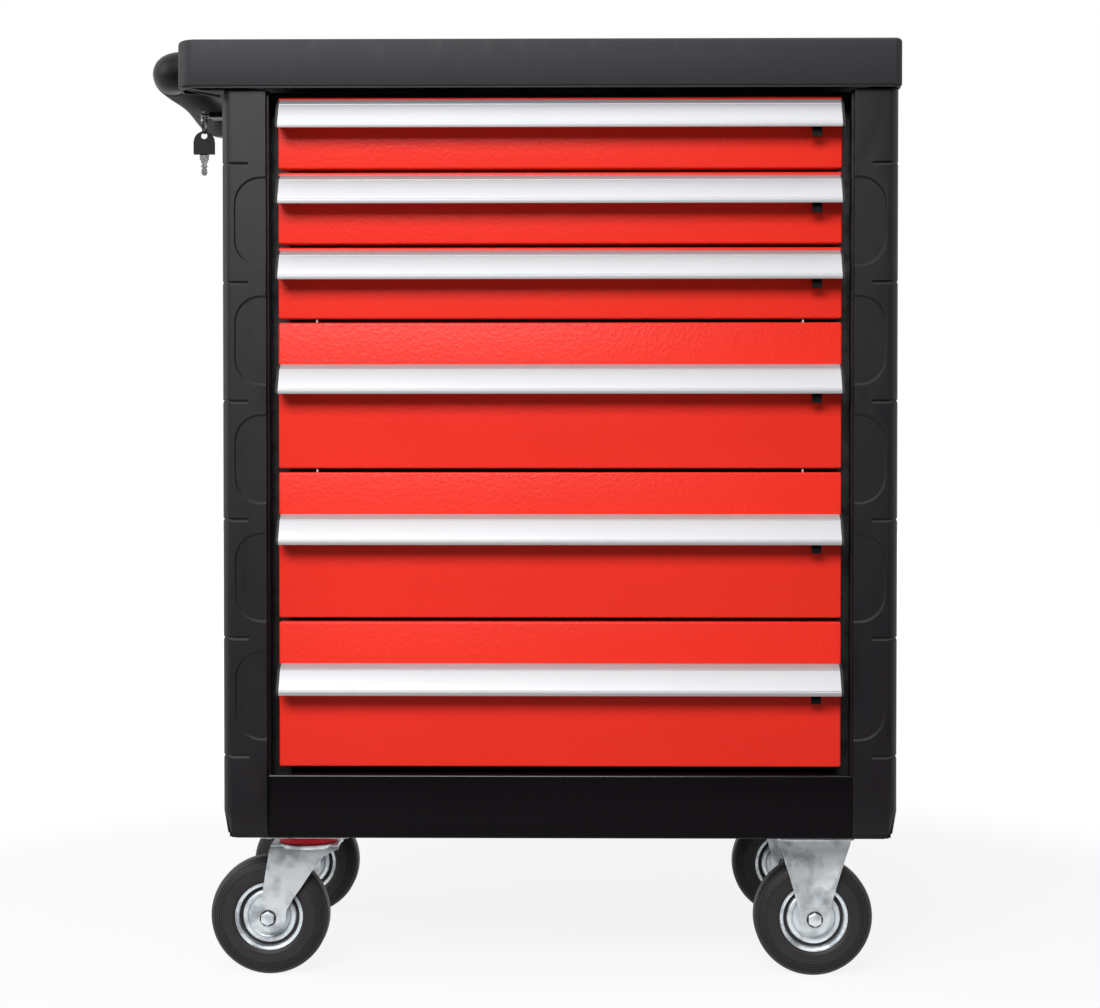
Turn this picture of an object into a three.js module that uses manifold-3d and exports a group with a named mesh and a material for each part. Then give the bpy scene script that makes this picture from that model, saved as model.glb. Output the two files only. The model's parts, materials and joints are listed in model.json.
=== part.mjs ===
// Six-drawer tool cart on two fixed and two swivel castors.
// Millimetres, +X to the right seen from the front, +Y to the back, +Z up, floor at Z = 0.

import * as THREE from 'three';
import { mergeVertices } from 'three/addons/utils/BufferGeometryUtils.js';
import Module from 'manifold-3d';

const wasm = await Module();
wasm.setup();

// Clearances and shared sheet sizes
const seatGap = 0.3;
const runningGap = 0.6;
const cutOverrun = 5;
const sheetThickness = 1.2;
const platePanelThickness = 2;

// Cabinet
const bodyWidth = 682;
const bodyDepth = 444;
const bodySetback = 8;
const kickPanelHeight = 63.7;
const frameFlangeShow = 2.3;
const frameFlangeReturn = 13;
const rearFlangeWidth = 22;
const baseEdgeHeight = 27;
const baseDrop = 3.3;
const topFrameWidth = 46;
const topFrameLip = 3;
const kickLipDepth = 22;

// Moulded worktop with a wing on the left that carries the push handle
const worktopSkirt = 47.3;
const worktopLip = 1.7;
const worktopLipInset = 1.2;
const worktopDepth = 460;
const worktopRightOverhang = 2;
const worktopWing = 44.5;
const worktopLargeCorner = 28;
const worktopSmallCorner = 9;
const worktopEdgeRounding = 5;
const worktopWall = 4;
const worktopRim = 15;
const worktopTrayDepth = 13;
const worktopFloor = 4;
const worktopTrayCorner = 12;
const bayShallowSetback = 34;
const bayDeepSetback = 50;
const bayFloorInset = 4;
const pocketCount = 4;
const pocketStripWidth = 70;
const pocketDivider = 4;

// Corner bumpers
const postFrontWidth = 45;
const postSideWidth = 50;
const postWall = 8;
const postCorner = 11;
const postGrooveCount = 6;
const postGrooveTopDrop = 73;
const postGrooveBottomRise = 84.9;
const postGrooveHeight = 2.6;
const postGrooveDepth = 1.8;
const postGrooveReach = 27;
const postPadMargin = 15;
const postPadDepth = 1.4;
const postPadOuterEdge = 13;
const postPadCorner = 20;
const postTaperHeight = 28;
const postTaperDepth = 5;

// Drawers
const drawerSideGap = 11;
const drawerFrontSetback = 12;
const drawerFrontThickness = 17;
const drawerGap = 4;
const lowDrawerHeight = 71.75;
const highDrawerHeight = 147.5;
const lowDrawerCount = 3;
const highDrawerCount = 3;
const lowestDrawerRise = 7.7;
const topDrawerDrop = 6.25;
const drawerBodyInset = 20;
const drawerBackGap = 21.7;
const drawerBodyDrop = 12;
const drawerBodyRise = 5;
const drawerRimFold = 7;

// Drawer runners
const railHeight = 30;
const railWall = 2;
const railSpace = 12.5;
const railSetback = 14;
const railEndGap = 7.7;
const innerRailHeight = 20;
const innerRailShortening = 20;
const uprightDepth = 34;
const frontUprightSetback = 22;
const rearUprightSetback = 16.3;

// Handle strips and latch tabs of the drawers
const stripHeight = 30.5;
const stripReach = 25;
const stripTopLand = 3.5;
const stripBevelReach = 12;
const stripBevelDrop = 5;
const stripWall = 2.4;
const stripLipHeight = 4;
const stripBackHeight = 24;
const stripEndCap = 2.6;
const lowStripDrop = 3.5;
const highStripDrop = 42.4;
const latchInset = 27;
const latchTabWidth = 10;
const latchTabThickness = 3;
const latchTabHang = 8.8;
const latchTabPlace = 13.5;
const latchPlateWidth = 26;
const latchPlateHeight = 13;
const latchPlateThickness = 3;
const latchPlateDrop = 9;

// Push handle
const gripReach = 64.5;
const gripDrop = 19;
const gripSetback = 45;
const gripRadius = 21.5;
const gripWaistRadius = 17.5;
const gripEndRounding = 7;
const gripBoreGap = 0.5;
const bowRadius = 13;
const bowBend = 22;
const flangeRadius = 17;
const flangeThickness = 5;

// Lock, keys and locking bar
const lockSetback = 72;
const lockDrop = 14.7;
const lockFlangeRadius = 12;
const lockFlangeThickness = 2.4;
const lockBarrelRadius = 9.5;
const lockBarrelLength = 22;
const lockPlugRadius = 6;
const lockPlugStand = 1;
const keyStem = 14;
const keyHeadLength = 24;
const keyHeadWidth = 21.6;
const keyHeadThickness = 5.6;
const keyRimThickness = 2.4;
const keyRimLength = 10.5;
const keyHoleRadius = 3.3;
const keyHoleSetback = 4.8;
const keyBladeLength = 22;
const keyBladeWidth = 6.5;
const keyBladeThickness = 2;
const keyShoulderLength = 6;
const keyShoulderWidth = 9.5;
const camLength = 11;
const camWidth = 9;
const camThickness = 2.5;
const ringRadius = 11;
const ringWire = 0.7;
const ringDrop = 8.2;
const ringShift = 6.5;
const lockingBarWidth = 14;
const lockingBarThickness = 3;
const lockingBarInset = 25.2;
const lockingBarEnd = 20;
const lockingHookLength = 12;
const lockingHookHeight = 8;
const lockingGuideLength = 16;
const lockingGuideWall = 3;

// Castors
const casterSideInset = 77.75;
const casterInset = 74;
const wheelRadius = 61.5;
const tyreWidth = 36;
const tyreShoulder = 9;
const tyreBoreRadius = 36;
const rimFlangeRadius = 35.6;
const rimLandRadius = 31;
const rimWidth = 32;
const hubDiscRadius = 26.5;
const hubDiscRecess = 5;
const hubTubeRadius = 10;
const hubTubeLength = 40;
const hubBoreRadius = 5.4;
const axleRadius = 5;
const axleHeadRadius = 8.5;
const axleHeadThickness = 5;
const legSpread = 42;
const legThickness = 2.6;
const legEndRadius = 16;
const fixedPlateWidth = 76;
const fixedPlateDepth = 84;
const swivelPlateWidth = 93;
const swivelPlateDepth = 76;
const casterPlateThickness = 3;
const swivelRingRadius = 31;
const swivelRingHeight = 8.2;
const swivelRingBore = 19;
const forkCrownThickness = 3.4;
const forkCrownFront = 34;
const forkCrownBack = 36;
const forkTrail = 39.5;
const kingpinRadius = 9;
const kingpinHeadRadius = 13;
const kingpinHeadThickness = 2.6;
const kingpinTyreGap = 8.6;

// Facet counts
const roundSegments = 36;
const hubSegments = 28;
const smallSegments = 16;
const cornerSegments = 4;
const roundingSteps = 3;
const bowSteps = 38;
const gripStations = 12;
const wireSides = 6;

// Places that follow from the sizes above
const halfBody = bodyWidth / 2;
const bodyFront = bodySetback;
const bodyBack = bodyFront + bodyDepth;
const forkHead = kingpinHeadThickness + seatGap + forkCrownThickness;
const swivelHead = swivelRingHeight + 2 * seatGap + casterPlateThickness;
const casterHeight = 2 * wheelRadius + kingpinTyreGap + forkHead + swivelHead;
const baseBottom = casterHeight + seatGap;
const bodyBottom = baseBottom + baseDrop;
const kickTop = bodyBottom + kickPanelHeight;
const lowStack = lowDrawerCount * (lowDrawerHeight + drawerGap);
const highStack = highDrawerCount * (highDrawerHeight + drawerGap);
const bodyTop = kickTop + lowestDrawerRise + lowStack + highStack - drawerGap + topDrawerDrop;
const worktopUnderside = bodyTop + seatGap + worktopLip;
const worktopTop = worktopUnderside + worktopSkirt;
const postGroovePitch =
  (bodyTop - bodyBottom - postGrooveTopDrop - postGrooveBottomRise) / (postGrooveCount - 1);
const steelSide = halfBody - postWall - seatGap;
const steelFront = bodyFront + postWall + seatGap;
const steelBack = bodyBack - postWall - seatGap;
const innerSide = steelSide - sheetThickness - seatGap;
const frameFlangeWidth = postFrontWidth - postWall - seatGap + frameFlangeShow;
const innerFront = steelFront + frameFlangeReturn + seatGap;
const innerBack = steelBack - 2 * sheetThickness - 2 * seatGap;
const drawerFrontPlane = bodyFront + drawerFrontSetback;
const drawerFrontWidth = bodyWidth - 2 * (postFrontWidth + drawerSideGap);
const worktopLeft = -halfBody - worktopWing;
const worktopRight = halfBody + worktopRightOverhang;
const gripAxis = -halfBody - gripReach;
const gripHeight = worktopTop - gripDrop;
const gripFront = bayDeepSetback + gripSetback;
const gripLength = worktopDepth - 2 * gripFront;
const gripBack = gripFront + gripLength;
const bayWall = -halfBody - bayFloorInset;
const lockPlace = bodyFront + lockSetback;
const lockHeight = bodyTop - lockDrop;
const casterPlace = halfBody - casterSideInset;
const casterFront = bodyFront + casterInset;
const casterBack = bodyBack - casterInset;
const overallLeft = gripAxis - gripRadius;
const stripFront = drawerFrontPlane - stripReach;
const middle = new THREE.Vector3((overallLeft + worktopRight) / 2, (stripFront + worktopDepth) / 2, 0);

// Materials
const finish = (color, roughness, metalness) =>
  new THREE.MeshStandardMaterial({ color, roughness, metalness });
const finishes = {
  worktopPlastic: () => finish(0x3f3c40, 0.55, 0),
  bumperPlastic: () => finish(0x342f33, 0.6, 0),
  blackPaint: () => finish(0x120e12, 0.18, 0),
  redPaint: () => finish(0xf63e30, 0.35, 0),
  brushedAluminium: () => finish(0xeaeaee, 0.32, 0.6),
  blackPlastic: () => finish(0x161517, 0.5, 0),
  zinc: () => finish(0xbec5c9, 0.3, 0.9),
  rubber: () => finish(0x373435, 0.75, 0),
  gripRubber: () => finish(0x535353, 0.7, 0),
  redPlastic: () => finish(0xac2730, 0.45, 0),
  nickel: () => finish(0xc2c2c4, 0.22, 1),
};

// Geometry to solid and back
function solidOf(geometry) {
  const bare = geometry.clone();
  bare.deleteAttribute('normal');
  bare.deleteAttribute('uv');
  const merged = mergeVertices(bare);
  return new wasm.Manifold(new wasm.Mesh({
    numProp: 3,
    vertProperties: new Float32Array(merged.attributes.position.array),
    triVerts: new Uint32Array(merged.index.array),
  }));
}

function geometryOf(solid) {
  const mesh = solid.getMesh();
  const geometry = new THREE.BufferGeometry();
  geometry.setAttribute('position', new THREE.BufferAttribute(new Float32Array(mesh.vertProperties), 3));
  geometry.setIndex(new THREE.BufferAttribute(new Uint32Array(mesh.triVerts), 1));
  geometry.computeVertexNormals();
  return geometry;
}

const join = (first, ...others) => others.reduce((sum, other) => sum.add(other), first);
const cut = (first, ...others) => others.reduce((rest, other) => rest.subtract(other), first);
const sorted = (a, b) => [Math.min(a, b), Math.max(a, b)];

function block(x0, x1, y0, y1, z0, z1) {
  const geometry = new THREE.BoxGeometry(x1 - x0, y1 - y0, z1 - z0);
  geometry.translate((x0 + x1) / 2, (y0 + y1) / 2, (z0 + z1) / 2);
  return solidOf(geometry);
}

const axisX = new THREE.Vector3(1, 0, 0);
const axisY = new THREE.Vector3(0, 1, 0);
const axisZ = new THREE.Vector3(0, 0, 1);

function extrusion(shape, length) {
  return new THREE.ExtrudeGeometry(shape, {
    depth: length,
    bevelEnabled: false,
    curveSegments: cornerSegments,
  });
}

// An outline drawn in X and Y, raised from z0 to z1
function raise(shape, z0, z1) {
  return solidOf(extrusion(shape, z1 - z0).translate(0, 0, z0));
}

// An outline drawn in Y and Z, drawn out along X
function alongX(shape, x0, x1) {
  const turn = new THREE.Matrix4().makeBasis(axisY, axisZ, axisX);
  return solidOf(extrusion(shape, x1 - x0).applyMatrix4(turn).translate(x0, 0, 0));
}

// An outline drawn in X and Z, drawn out along Y
function alongY(shape, y0, y1) {
  const turn = new THREE.Matrix4().makeBasis(axisX, axisZ, axisY.clone().negate());
  return solidOf(extrusion(shape, y1 - y0).applyMatrix4(turn).translate(0, y1, 0));
}

// A profile of radius and height turned about a line through the given place
function turned(points, axis, place, segments = roundSegments, firstAngle = 0) {
  const profile = points.map(([radius, height]) => new THREE.Vector2(radius, height));
  const geometry = new THREE.LatheGeometry(profile, segments);
  geometry.rotateY(firstAngle);
  geometry.applyQuaternion(new THREE.Quaternion().setFromUnitVectors(axisY, axis));
  geometry.translate(place.x, place.y, place.z);
  const solid = solidOf(geometry);
  return solid.volume() < 0 ? solidOf(flipped(geometry)) : solid;
}

function flipped(geometry) {
  const copy = geometry.clone();
  const index = copy.index.array;
  for (let i = 0; i < index.length; i += 3) {
    [index[i], index[i + 1]] = [index[i + 1], index[i]];
  }
  return copy;
}

function rod(radius, axis, place, from, to, segments = smallSegments) {
  return turned([[0, from], [radius, from], [radius, to], [0, to]], axis, place, segments);
}

function polygon(points) {
  const shape = new THREE.Shape();
  shape.moveTo(...points[0]);
  points.slice(1).forEach((point) => shape.lineTo(...point));
  shape.closePath();
  return shape;
}

// A rectangle whose corners have their own radii, from the lower left one round
function roundedRectangle(x0, x1, y0, y1, radii) {
  const [a, b, c, d] = radii;
  const shape = new THREE.Shape();
  shape.moveTo(x0 + a, y0);
  shape.lineTo(x1 - b, y0);
  shape.absarc(x1 - b, y0 + b, b, -Math.PI / 2, 0);
  shape.lineTo(x1, y1 - c);
  shape.absarc(x1 - c, y1 - c, c, 0, Math.PI / 2);
  shape.lineTo(x0 + d, y1);
  shape.absarc(x0 + d, y1 - d, d, Math.PI / 2, Math.PI);
  shape.lineTo(x0, y0 + a);
  shape.absarc(x0 + a, y0 + a, a, Math.PI, 1.5 * Math.PI);
  return shape;
}

const group = new THREE.Group();
group.position.copy(middle).negate();

function addPiece(name, solid, material) {
  const mesh = new THREE.Mesh(geometryOf(solid), material());
  mesh.name = name;
  group.add(mesh);
}

// Worktop

// The plan of the worktop, drawn in by the given amount on every side
function worktopPlan(inset) {
  const large = worktopLargeCorner - inset;
  const small = Math.max(worktopSmallCorner - inset, worktopSmallCorner / 2);
  return roundedRectangle(
    worktopLeft + inset, worktopRight - inset, inset, worktopDepth - inset,
    [large, small, small, large],
  );
}

// The hand bay in the left edge, grown by the given amount into the worktop
function handBay(grow, z0, z1) {
  const outside = worktopLeft - cutOverrun;
  const slope = (bayDeepSetback - bayShallowSetback) / (bayWall - worktopLeft);
  const shallow = bayShallowSetback - slope * cutOverrun - grow;
  const deep = bayDeepSetback - grow;
  return raise(polygon([
    [outside, shallow], [bayWall + grow, deep],
    [bayWall + grow, worktopDepth - deep], [outside, worktopDepth - shallow],
  ]), z0, z1);
}

function worktopOuter() {
  const plan = worktopPlan(worktopEdgeRounding);
  const bottom = worktopUnderside - 2 * worktopEdgeRounding;
  const geometry = new THREE.ExtrudeGeometry(plan, {
    depth: worktopTop - bottom - worktopEdgeRounding,
    bevelThickness: worktopEdgeRounding,
    bevelSize: worktopEdgeRounding,
    bevelSegments: roundingSteps,
    curveSegments: cornerSegments,
  });
  geometry.translate(0, 0, bottom);
  const below = block(
    worktopLeft - cutOverrun, worktopRight + cutOverrun, -cutOverrun, worktopDepth + cutOverrun,
    bottom - worktopSkirt, worktopUnderside,
  );
  const lipBottom = worktopUnderside - worktopLip;
  const lip = raise(worktopPlan(worktopLipInset), lipBottom, worktopTop - worktopRim);
  const bay = handBay(0, lipBottom - cutOverrun, worktopTop + cutOverrun);
  return cut(join(cut(solidOf(geometry), below), lip), bay);
}

function worktop() {
  const trayFloor = worktopTop - worktopTrayDepth;
  const hollowTop = trayFloor - worktopFloor;
  const trayLeft = bayWall + worktopRim;
  const stripRight = trayLeft + pocketStripWidth;
  const trayRight = worktopRight - worktopRim;
  const trayFront = worktopRim;
  const trayBack = worktopDepth - worktopRim;
  const corners = Array(4).fill(worktopTrayCorner);
  const tray = raise(
    roundedRectangle(stripRight + pocketDivider, trayRight, trayFront, trayBack, corners),
    trayFloor, worktopTop + cutOverrun,
  );
  const pocketLength = (trayBack - trayFront - (pocketCount - 1) * pocketDivider) / pocketCount;
  const pocketCorners = Array(4).fill(worktopTrayCorner / 2);
  const pockets = Array.from({ length: pocketCount }, (_, index) => {
    const start = trayFront + index * (pocketLength + pocketDivider);
    return raise(
      roundedRectangle(trayLeft, stripRight, start, start + pocketLength, pocketCorners),
      trayFloor, worktopTop + cutOverrun,
    );
  });
  const hollowBottom = worktopUnderside - worktopLip - cutOverrun;
  const hollow = cut(
    raise(worktopPlan(worktopWall), hollowBottom, hollowTop),
    handBay(worktopWall, hollowBottom - cutOverrun, hollowTop + cutOverrun),
  );
  return cut(worktopOuter(), tray, ...pockets, hollow);
}

// Corner bumpers

// Signs tell the corner: side -1 is left and 1 right, end -1 is front and 1 back
function cornerPost(side, end) {
  const outerX = side * halfBody;
  const outerY = end < 0 ? bodyFront : bodyBack;
  const inX = (distance) => outerX - side * distance;
  const inY = (distance) => outerY - end * distance;
  const plan = new THREE.Shape();
  plan.moveTo(inX(postFrontWidth), inY(0));
  plan.lineTo(inX(postCorner), inY(0));
  for (let step = 1; step < cornerSegments; step += 1) {
    const angle = (Math.PI / 2) * (step / cornerSegments);
    plan.lineTo(inX(postCorner * (1 - Math.sin(angle))), inY(postCorner * (1 - Math.cos(angle))));
  }
  plan.lineTo(inX(0), inY(postCorner));
  plan.lineTo(inX(0), inY(postSideWidth));
  plan.lineTo(inX(postWall), inY(postSideWidth));
  plan.lineTo(inX(postWall), inY(postWall));
  plan.lineTo(inX(postFrontWidth), inY(postWall));
  plan.closePath();
  const tools = [];
  for (let index = 0; index < postGrooveCount; index += 1) {
    const z = bodyTop - postGrooveTopDrop - index * postGroovePitch;
    const heights = [z - postGrooveHeight / 2, z + postGrooveHeight / 2];
    tools.push(
      block(...sorted(inX(postGrooveReach), inX(-cutOverrun)),
        ...sorted(inY(-cutOverrun), inY(postGrooveDepth)), ...heights),
      block(...sorted(inX(-cutOverrun), inX(postGrooveDepth)),
        ...sorted(inY(-cutOverrun), inY(postGrooveReach)), ...heights),
    );
    if (index < postGrooveCount - 1) {
      tools.push(...postPads(z, inX, inY));
    }
  }
  const foot = bodyBottom - cutOverrun;
  const taperTop = bodyBottom + postTaperHeight;
  const slopeRun = postTaperDepth * (postTaperHeight + cutOverrun) / postTaperHeight;
  const wedge = (place) => polygon([
    [place(-cutOverrun), taperTop], [place(0), taperTop],
    [place(slopeRun), foot], [place(-cutOverrun), foot],
  ]);
  tools.push(
    alongY(wedge(inX), ...sorted(inY(-cutOverrun), inY(postSideWidth + cutOverrun))),
    alongX(wedge(inY), ...sorted(inX(-cutOverrun), inX(postFrontWidth + cutOverrun))),
  );
  return cut(raise(plan, bodyBottom, bodyTop), ...tools);
}

// The D-shaped sunk fields below a groove, one on each face, open to the inner edge
function postPads(grooveHeight, inX, inY) {
  const top = grooveHeight - postPadMargin;
  const bottom = grooveHeight - postGroovePitch + postPadMargin;
  const field = (place, width) => {
    const shape = new THREE.Shape();
    const inner = place(width + cutOverrun);
    const outer = place(postPadOuterEdge);
    const arcEnd = place(postPadOuterEdge + postPadCorner);
    shape.moveTo(inner, bottom);
    shape.lineTo(arcEnd, bottom);
    shape.quadraticCurveTo(outer, bottom, outer, bottom + postPadCorner);
    shape.lineTo(outer, top - postPadCorner);
    shape.quadraticCurveTo(outer, top, arcEnd, top);
    shape.lineTo(inner, top);
    shape.closePath();
    return shape;
  };
  return [
    alongY(field(inX, postFrontWidth), ...sorted(inY(-cutOverrun), inY(postPadDepth))),
    alongX(field(inY, postSideWidth), ...sorted(inX(-cutOverrun), inX(postPadDepth))),
  ];
}

// Sheet-steel cabinet

function sidePanel(side) {
  const outer = side * steelSide;
  const at = (distance) => outer - side * distance;
  const t = sheetThickness;
  const plan = polygon([
    [at(0), steelFront], [at(frameFlangeWidth), steelFront],
    [at(frameFlangeWidth), steelFront + frameFlangeReturn],
    [at(frameFlangeWidth - t), steelFront + frameFlangeReturn],
    [at(frameFlangeWidth - t), steelFront + t], [at(t), steelFront + t],
    [at(t), steelBack - t], [at(rearFlangeWidth), steelBack - t],
    [at(rearFlangeWidth), steelBack], [at(0), steelBack],
  ]);
  const panel = raise(plan, bodyBottom, bodyTop);
  if (side > 0) {
    return panel;
  }
  const place = new THREE.Vector3(outer, lockPlace, lockHeight);
  return cut(panel, rod(lockBarrelRadius + seatGap, axisX, place, -cutOverrun, cutOverrun));
}

function basePanel() {
  const t = platePanelThickness;
  const edgeTop = baseBottom + baseEdgeHeight;
  const pan = block(-innerSide, innerSide, innerFront, innerBack, baseBottom, edgeTop);
  const inside = block(
    -innerSide + t, innerSide - t, innerFront + t, innerBack - t,
    baseBottom + t, edgeTop + cutOverrun,
  );
  return cut(pan, inside);
}

function topFrame() {
  const t = platePanelThickness;
  const lipBottom = bodyTop - t - topFrameLip;
  const plate = block(-innerSide, innerSide, innerFront, innerBack, lipBottom, bodyTop);
  const window = block(
    -innerSide + topFrameWidth, innerSide - topFrameWidth,
    innerFront + topFrameWidth, innerBack - topFrameWidth,
    lipBottom - cutOverrun, bodyTop + cutOverrun,
  );
  const under = block(
    -innerSide + t, innerSide - t, innerFront + t, innerBack - t,
    lipBottom - cutOverrun, bodyTop - t,
  );
  return cut(plate, window, under);
}

function backPanel() {
  const back = steelBack - sheetThickness - seatGap;
  return block(-innerSide, innerSide, back - sheetThickness, back, bodyBottom, bodyTop);
}

function kickPanel() {
  const edge = halfBody - postFrontWidth - seatGap;
  const lipEdge = steelSide - frameFlangeWidth - seatGap;
  const back = steelFront - seatGap;
  const face = block(-edge, edge, back - sheetThickness, back, bodyBottom, kickTop);
  const lip = block(
    -lipEdge, lipEdge, back - sheetThickness, back + kickLipDepth, kickTop - sheetThickness, kickTop,
  );
  return join(face, lip);
}

// Drawers, counted from the top

const drawerCount = lowDrawerCount + highDrawerCount;
const drawers = Array.from({ length: drawerCount }, (_, index) => {
  const lowsBelow = Math.max(lowDrawerCount - 1 - index, 0);
  const highsBelow = Math.min(drawerCount - 1 - index, highDrawerCount);
  const low = index < lowDrawerCount;
  const bottom = kickTop + lowestDrawerRise
    + highsBelow * (highDrawerHeight + drawerGap) + lowsBelow * (lowDrawerHeight + drawerGap);
  const height = low ? lowDrawerHeight : highDrawerHeight;
  const top = bottom + height;
  return {
    number: index + 1,
    bottom,
    top,
    railAxis: bottom + drawerBodyRise + railHeight / 2,
    stripTop: top - (low ? lowStripDrop : highStripDrop),
  };
});

const trayHalf = drawerFrontWidth / 2 - drawerBodyInset;
const trayFront = drawerFrontPlane + drawerFrontThickness;
const trayBack = innerBack - drawerBackGap;
const railWeb = trayHalf + seatGap + railSpace;
const railStart = bodyFront + railSetback + drawerFrontThickness;
const railEnd = innerBack - railEndGap;

function drawerTray(drawer) {
  const t = sheetThickness;
  const half = drawerFrontWidth / 2;
  const top = drawer.top - drawerBodyDrop;
  const floor = drawer.bottom + drawerBodyRise;
  const front = cut(
    block(-half, half, drawerFrontPlane, trayFront, drawer.bottom, drawer.top),
    block(
      -half + t, half - t, drawerFrontPlane + t, trayFront + cutOverrun, drawer.bottom + t, drawer.top - t,
    ),
  );
  const box = cut(
    block(-trayHalf, trayHalf, trayFront - t, trayBack, floor, top),
    block(-trayHalf + t, trayHalf - t, trayFront, trayBack - t, floor + t, top + cutOverrun),
  );
  const sides = [-1, 1].flatMap((side) => {
    const fold = sorted(side * trayHalf, side * (trayHalf - drawerRimFold));
    const rail = sorted(side * (trayHalf - t / 2), side * (railWeb - runningGap));
    return [
      block(...fold, trayFront - t, trayBack, top - t, top),
      block(...fold, drawerFrontPlane, trayFront, floor, top),
      block(
        ...rail, railStart + t, railEnd - innerRailShortening,
        drawer.railAxis - innerRailHeight / 2, drawer.railAxis + innerRailHeight / 2,
      ),
    ];
  });
  return join(front, box, ...sides);
}

// The strip's section: u is the distance out from the drawer front, w the drop from its top
function stripSection(drawer) {
  const place = (u, w) => [drawerFrontPlane - u, drawer.stripTop - w];
  const lipInner = stripReach - stripWall;
  const bevelInner = stripBevelReach - stripWall;
  return polygon([
    place(seatGap, 0), place(stripTopLand, 0),
    place(stripBevelReach, stripBevelDrop),
    place(stripReach, stripHeight - stripLipHeight),
    place(stripReach, stripHeight), place(lipInner, stripHeight),
    place(lipInner, stripHeight - stripLipHeight + stripWall / 3),
    place(bevelInner, stripBevelDrop + stripWall),
    place(seatGap + stripWall, stripWall * 1.2),
    place(seatGap + stripWall, stripBackHeight), place(seatGap, stripBackHeight),
  ]);
}

function stripOutline(drawer) {
  const place = (u, w) => [drawerFrontPlane - u, drawer.stripTop - w];
  return polygon([
    place(seatGap, 0), place(stripTopLand, 0),
    place(stripBevelReach, stripBevelDrop),
    place(stripReach, stripHeight - stripLipHeight),
    place(stripReach, stripHeight), place(stripReach - stripWall, stripHeight),
    place(seatGap, stripBackHeight),
  ]);
}

function handleStrip(drawer) {
  const half = drawerFrontWidth / 2;
  const caps = [
    alongX(stripOutline(drawer), -half, -half + stripEndCap),
    alongX(stripOutline(drawer), half - stripEndCap, half),
  ];
  return join(alongX(stripSection(drawer), -half, half), ...caps);
}

function latchTab(drawer) {
  const latchPlace = drawerFrontWidth / 2 - latchInset;
  const plateFront = drawerFrontPlane - 2 * seatGap - stripWall;
  const plateTop = drawer.stripTop - latchPlateDrop;
  const plateBottom = plateTop - latchPlateHeight;
  const tabBack = drawerFrontPlane - latchTabPlace;
  const tabBottom = drawer.stripTop - stripHeight - latchTabHang;
  const halfPlate = latchPlateWidth / 2;
  const halfTab = latchTabWidth / 2;
  const plate = block(
    latchPlace - halfPlate, latchPlace + halfPlate,
    plateFront - latchPlateThickness, plateFront, plateBottom, plateTop,
  );
  const arm = block(
    latchPlace - halfTab, latchPlace + halfTab,
    tabBack - latchTabThickness, plateFront, plateBottom, plateBottom + latchTabThickness,
  );
  const tab = block(
    latchPlace - halfTab, latchPlace + halfTab,
    tabBack - latchTabThickness, tabBack, tabBottom, plateBottom + latchTabThickness,
  );
  return join(plate, arm, tab);
}

// The runners of one side: two uprights with an outer rail for every drawer
function runnerRack(side) {
  const span = (a, b) => sorted(side * a, side * b);
  const t = platePanelThickness;
  const foot = baseBottom + t + seatGap;
  const head = bodyTop - t - topFrameLip - seatGap;
  const upright = (y0) => cut(
    block(...span(railWeb, innerSide - t - seatGap), y0, y0 + uprightDepth, foot, head),
    block(...span(railWeb + t, innerSide + cutOverrun), y0 + t, y0 + uprightDepth - t,
      foot - cutOverrun, head + cutOverrun),
  );
  const frontUpright = railStart + frontUprightSetback;
  const rearUpright = railEnd - rearUprightSetback - uprightDepth;
  const rails = drawers.map(({ railAxis }) => {
    const half = railHeight / 2;
    const open = innerRailHeight / 2 + runningGap;
    const rail = block(
      ...span(trayHalf + runningGap, railWeb + t), railStart, railEnd, railAxis - half, railAxis + half,
    );
    const channel = block(
      ...span(trayHalf - cutOverrun, railWeb), railStart - cutOverrun, railEnd - railWall,
      railAxis - open, railAxis + open,
    );
    return cut(rail, channel);
  });
  const uprights = [upright(frontUpright), upright(rearUpright)];
  const rack = join(uprights[0], uprights[1], ...rails);
  if (side > 0) {
    return rack;
  }
  return join(rack, ...lockingGuides(frontUpright + uprightDepth, foot));
}

const lockingBarPlace = innerSide - lockingBarInset;

// Two eyes on the left front upright that hold the locking bar
function lockingGuides(back, foot) {
  const wall = lockingGuideWall;
  const halfX = lockingBarThickness / 2 + seatGap;
  const start = back - wall / 2;
  const slotStart = start + wall;
  const slotEnd = slotStart + lockingBarWidth + 2 * seatGap;
  const upper = drawers[0].railAxis - railHeight - lockingGuideLength;
  return [foot + 2 * lockingGuideLength, upper].map((z) => cut(
    block(
      -lockingBarPlace - halfX - wall, -lockingBarPlace + halfX + wall, start, slotEnd + wall,
      z, z + lockingGuideLength,
    ),
    block(
      -lockingBarPlace - halfX, -lockingBarPlace + halfX, slotStart, slotEnd,
      z - cutOverrun, z + lockingGuideLength + cutOverrun,
    ),
  ));
}

function lockingBar() {
  const foot = baseBottom + platePanelThickness + lockingBarEnd;
  const head = lockHeight - lockBarrelRadius - lockingHookHeight;
  const front = railStart + frontUprightSetback + uprightDepth + lockingGuideWall / 2 + seatGap;
  const half = lockingBarThickness / 2;
  const bar = block(
    -lockingBarPlace - half, -lockingBarPlace + half, front, front + lockingBarWidth, foot, head,
  );
  const hooks = drawers.map(({ railAxis }) => block(
    -lockingBarPlace, -lockingBarPlace + half + lockingHookLength, front, front + lockingBarWidth,
    railAxis - lockingHookHeight / 2, railAxis + lockingHookHeight / 2,
  ));
  return join(bar, ...hooks);
}

// Lock and keys

const lockPoint = new THREE.Vector3(-steelSide, lockPlace, lockHeight);

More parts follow.
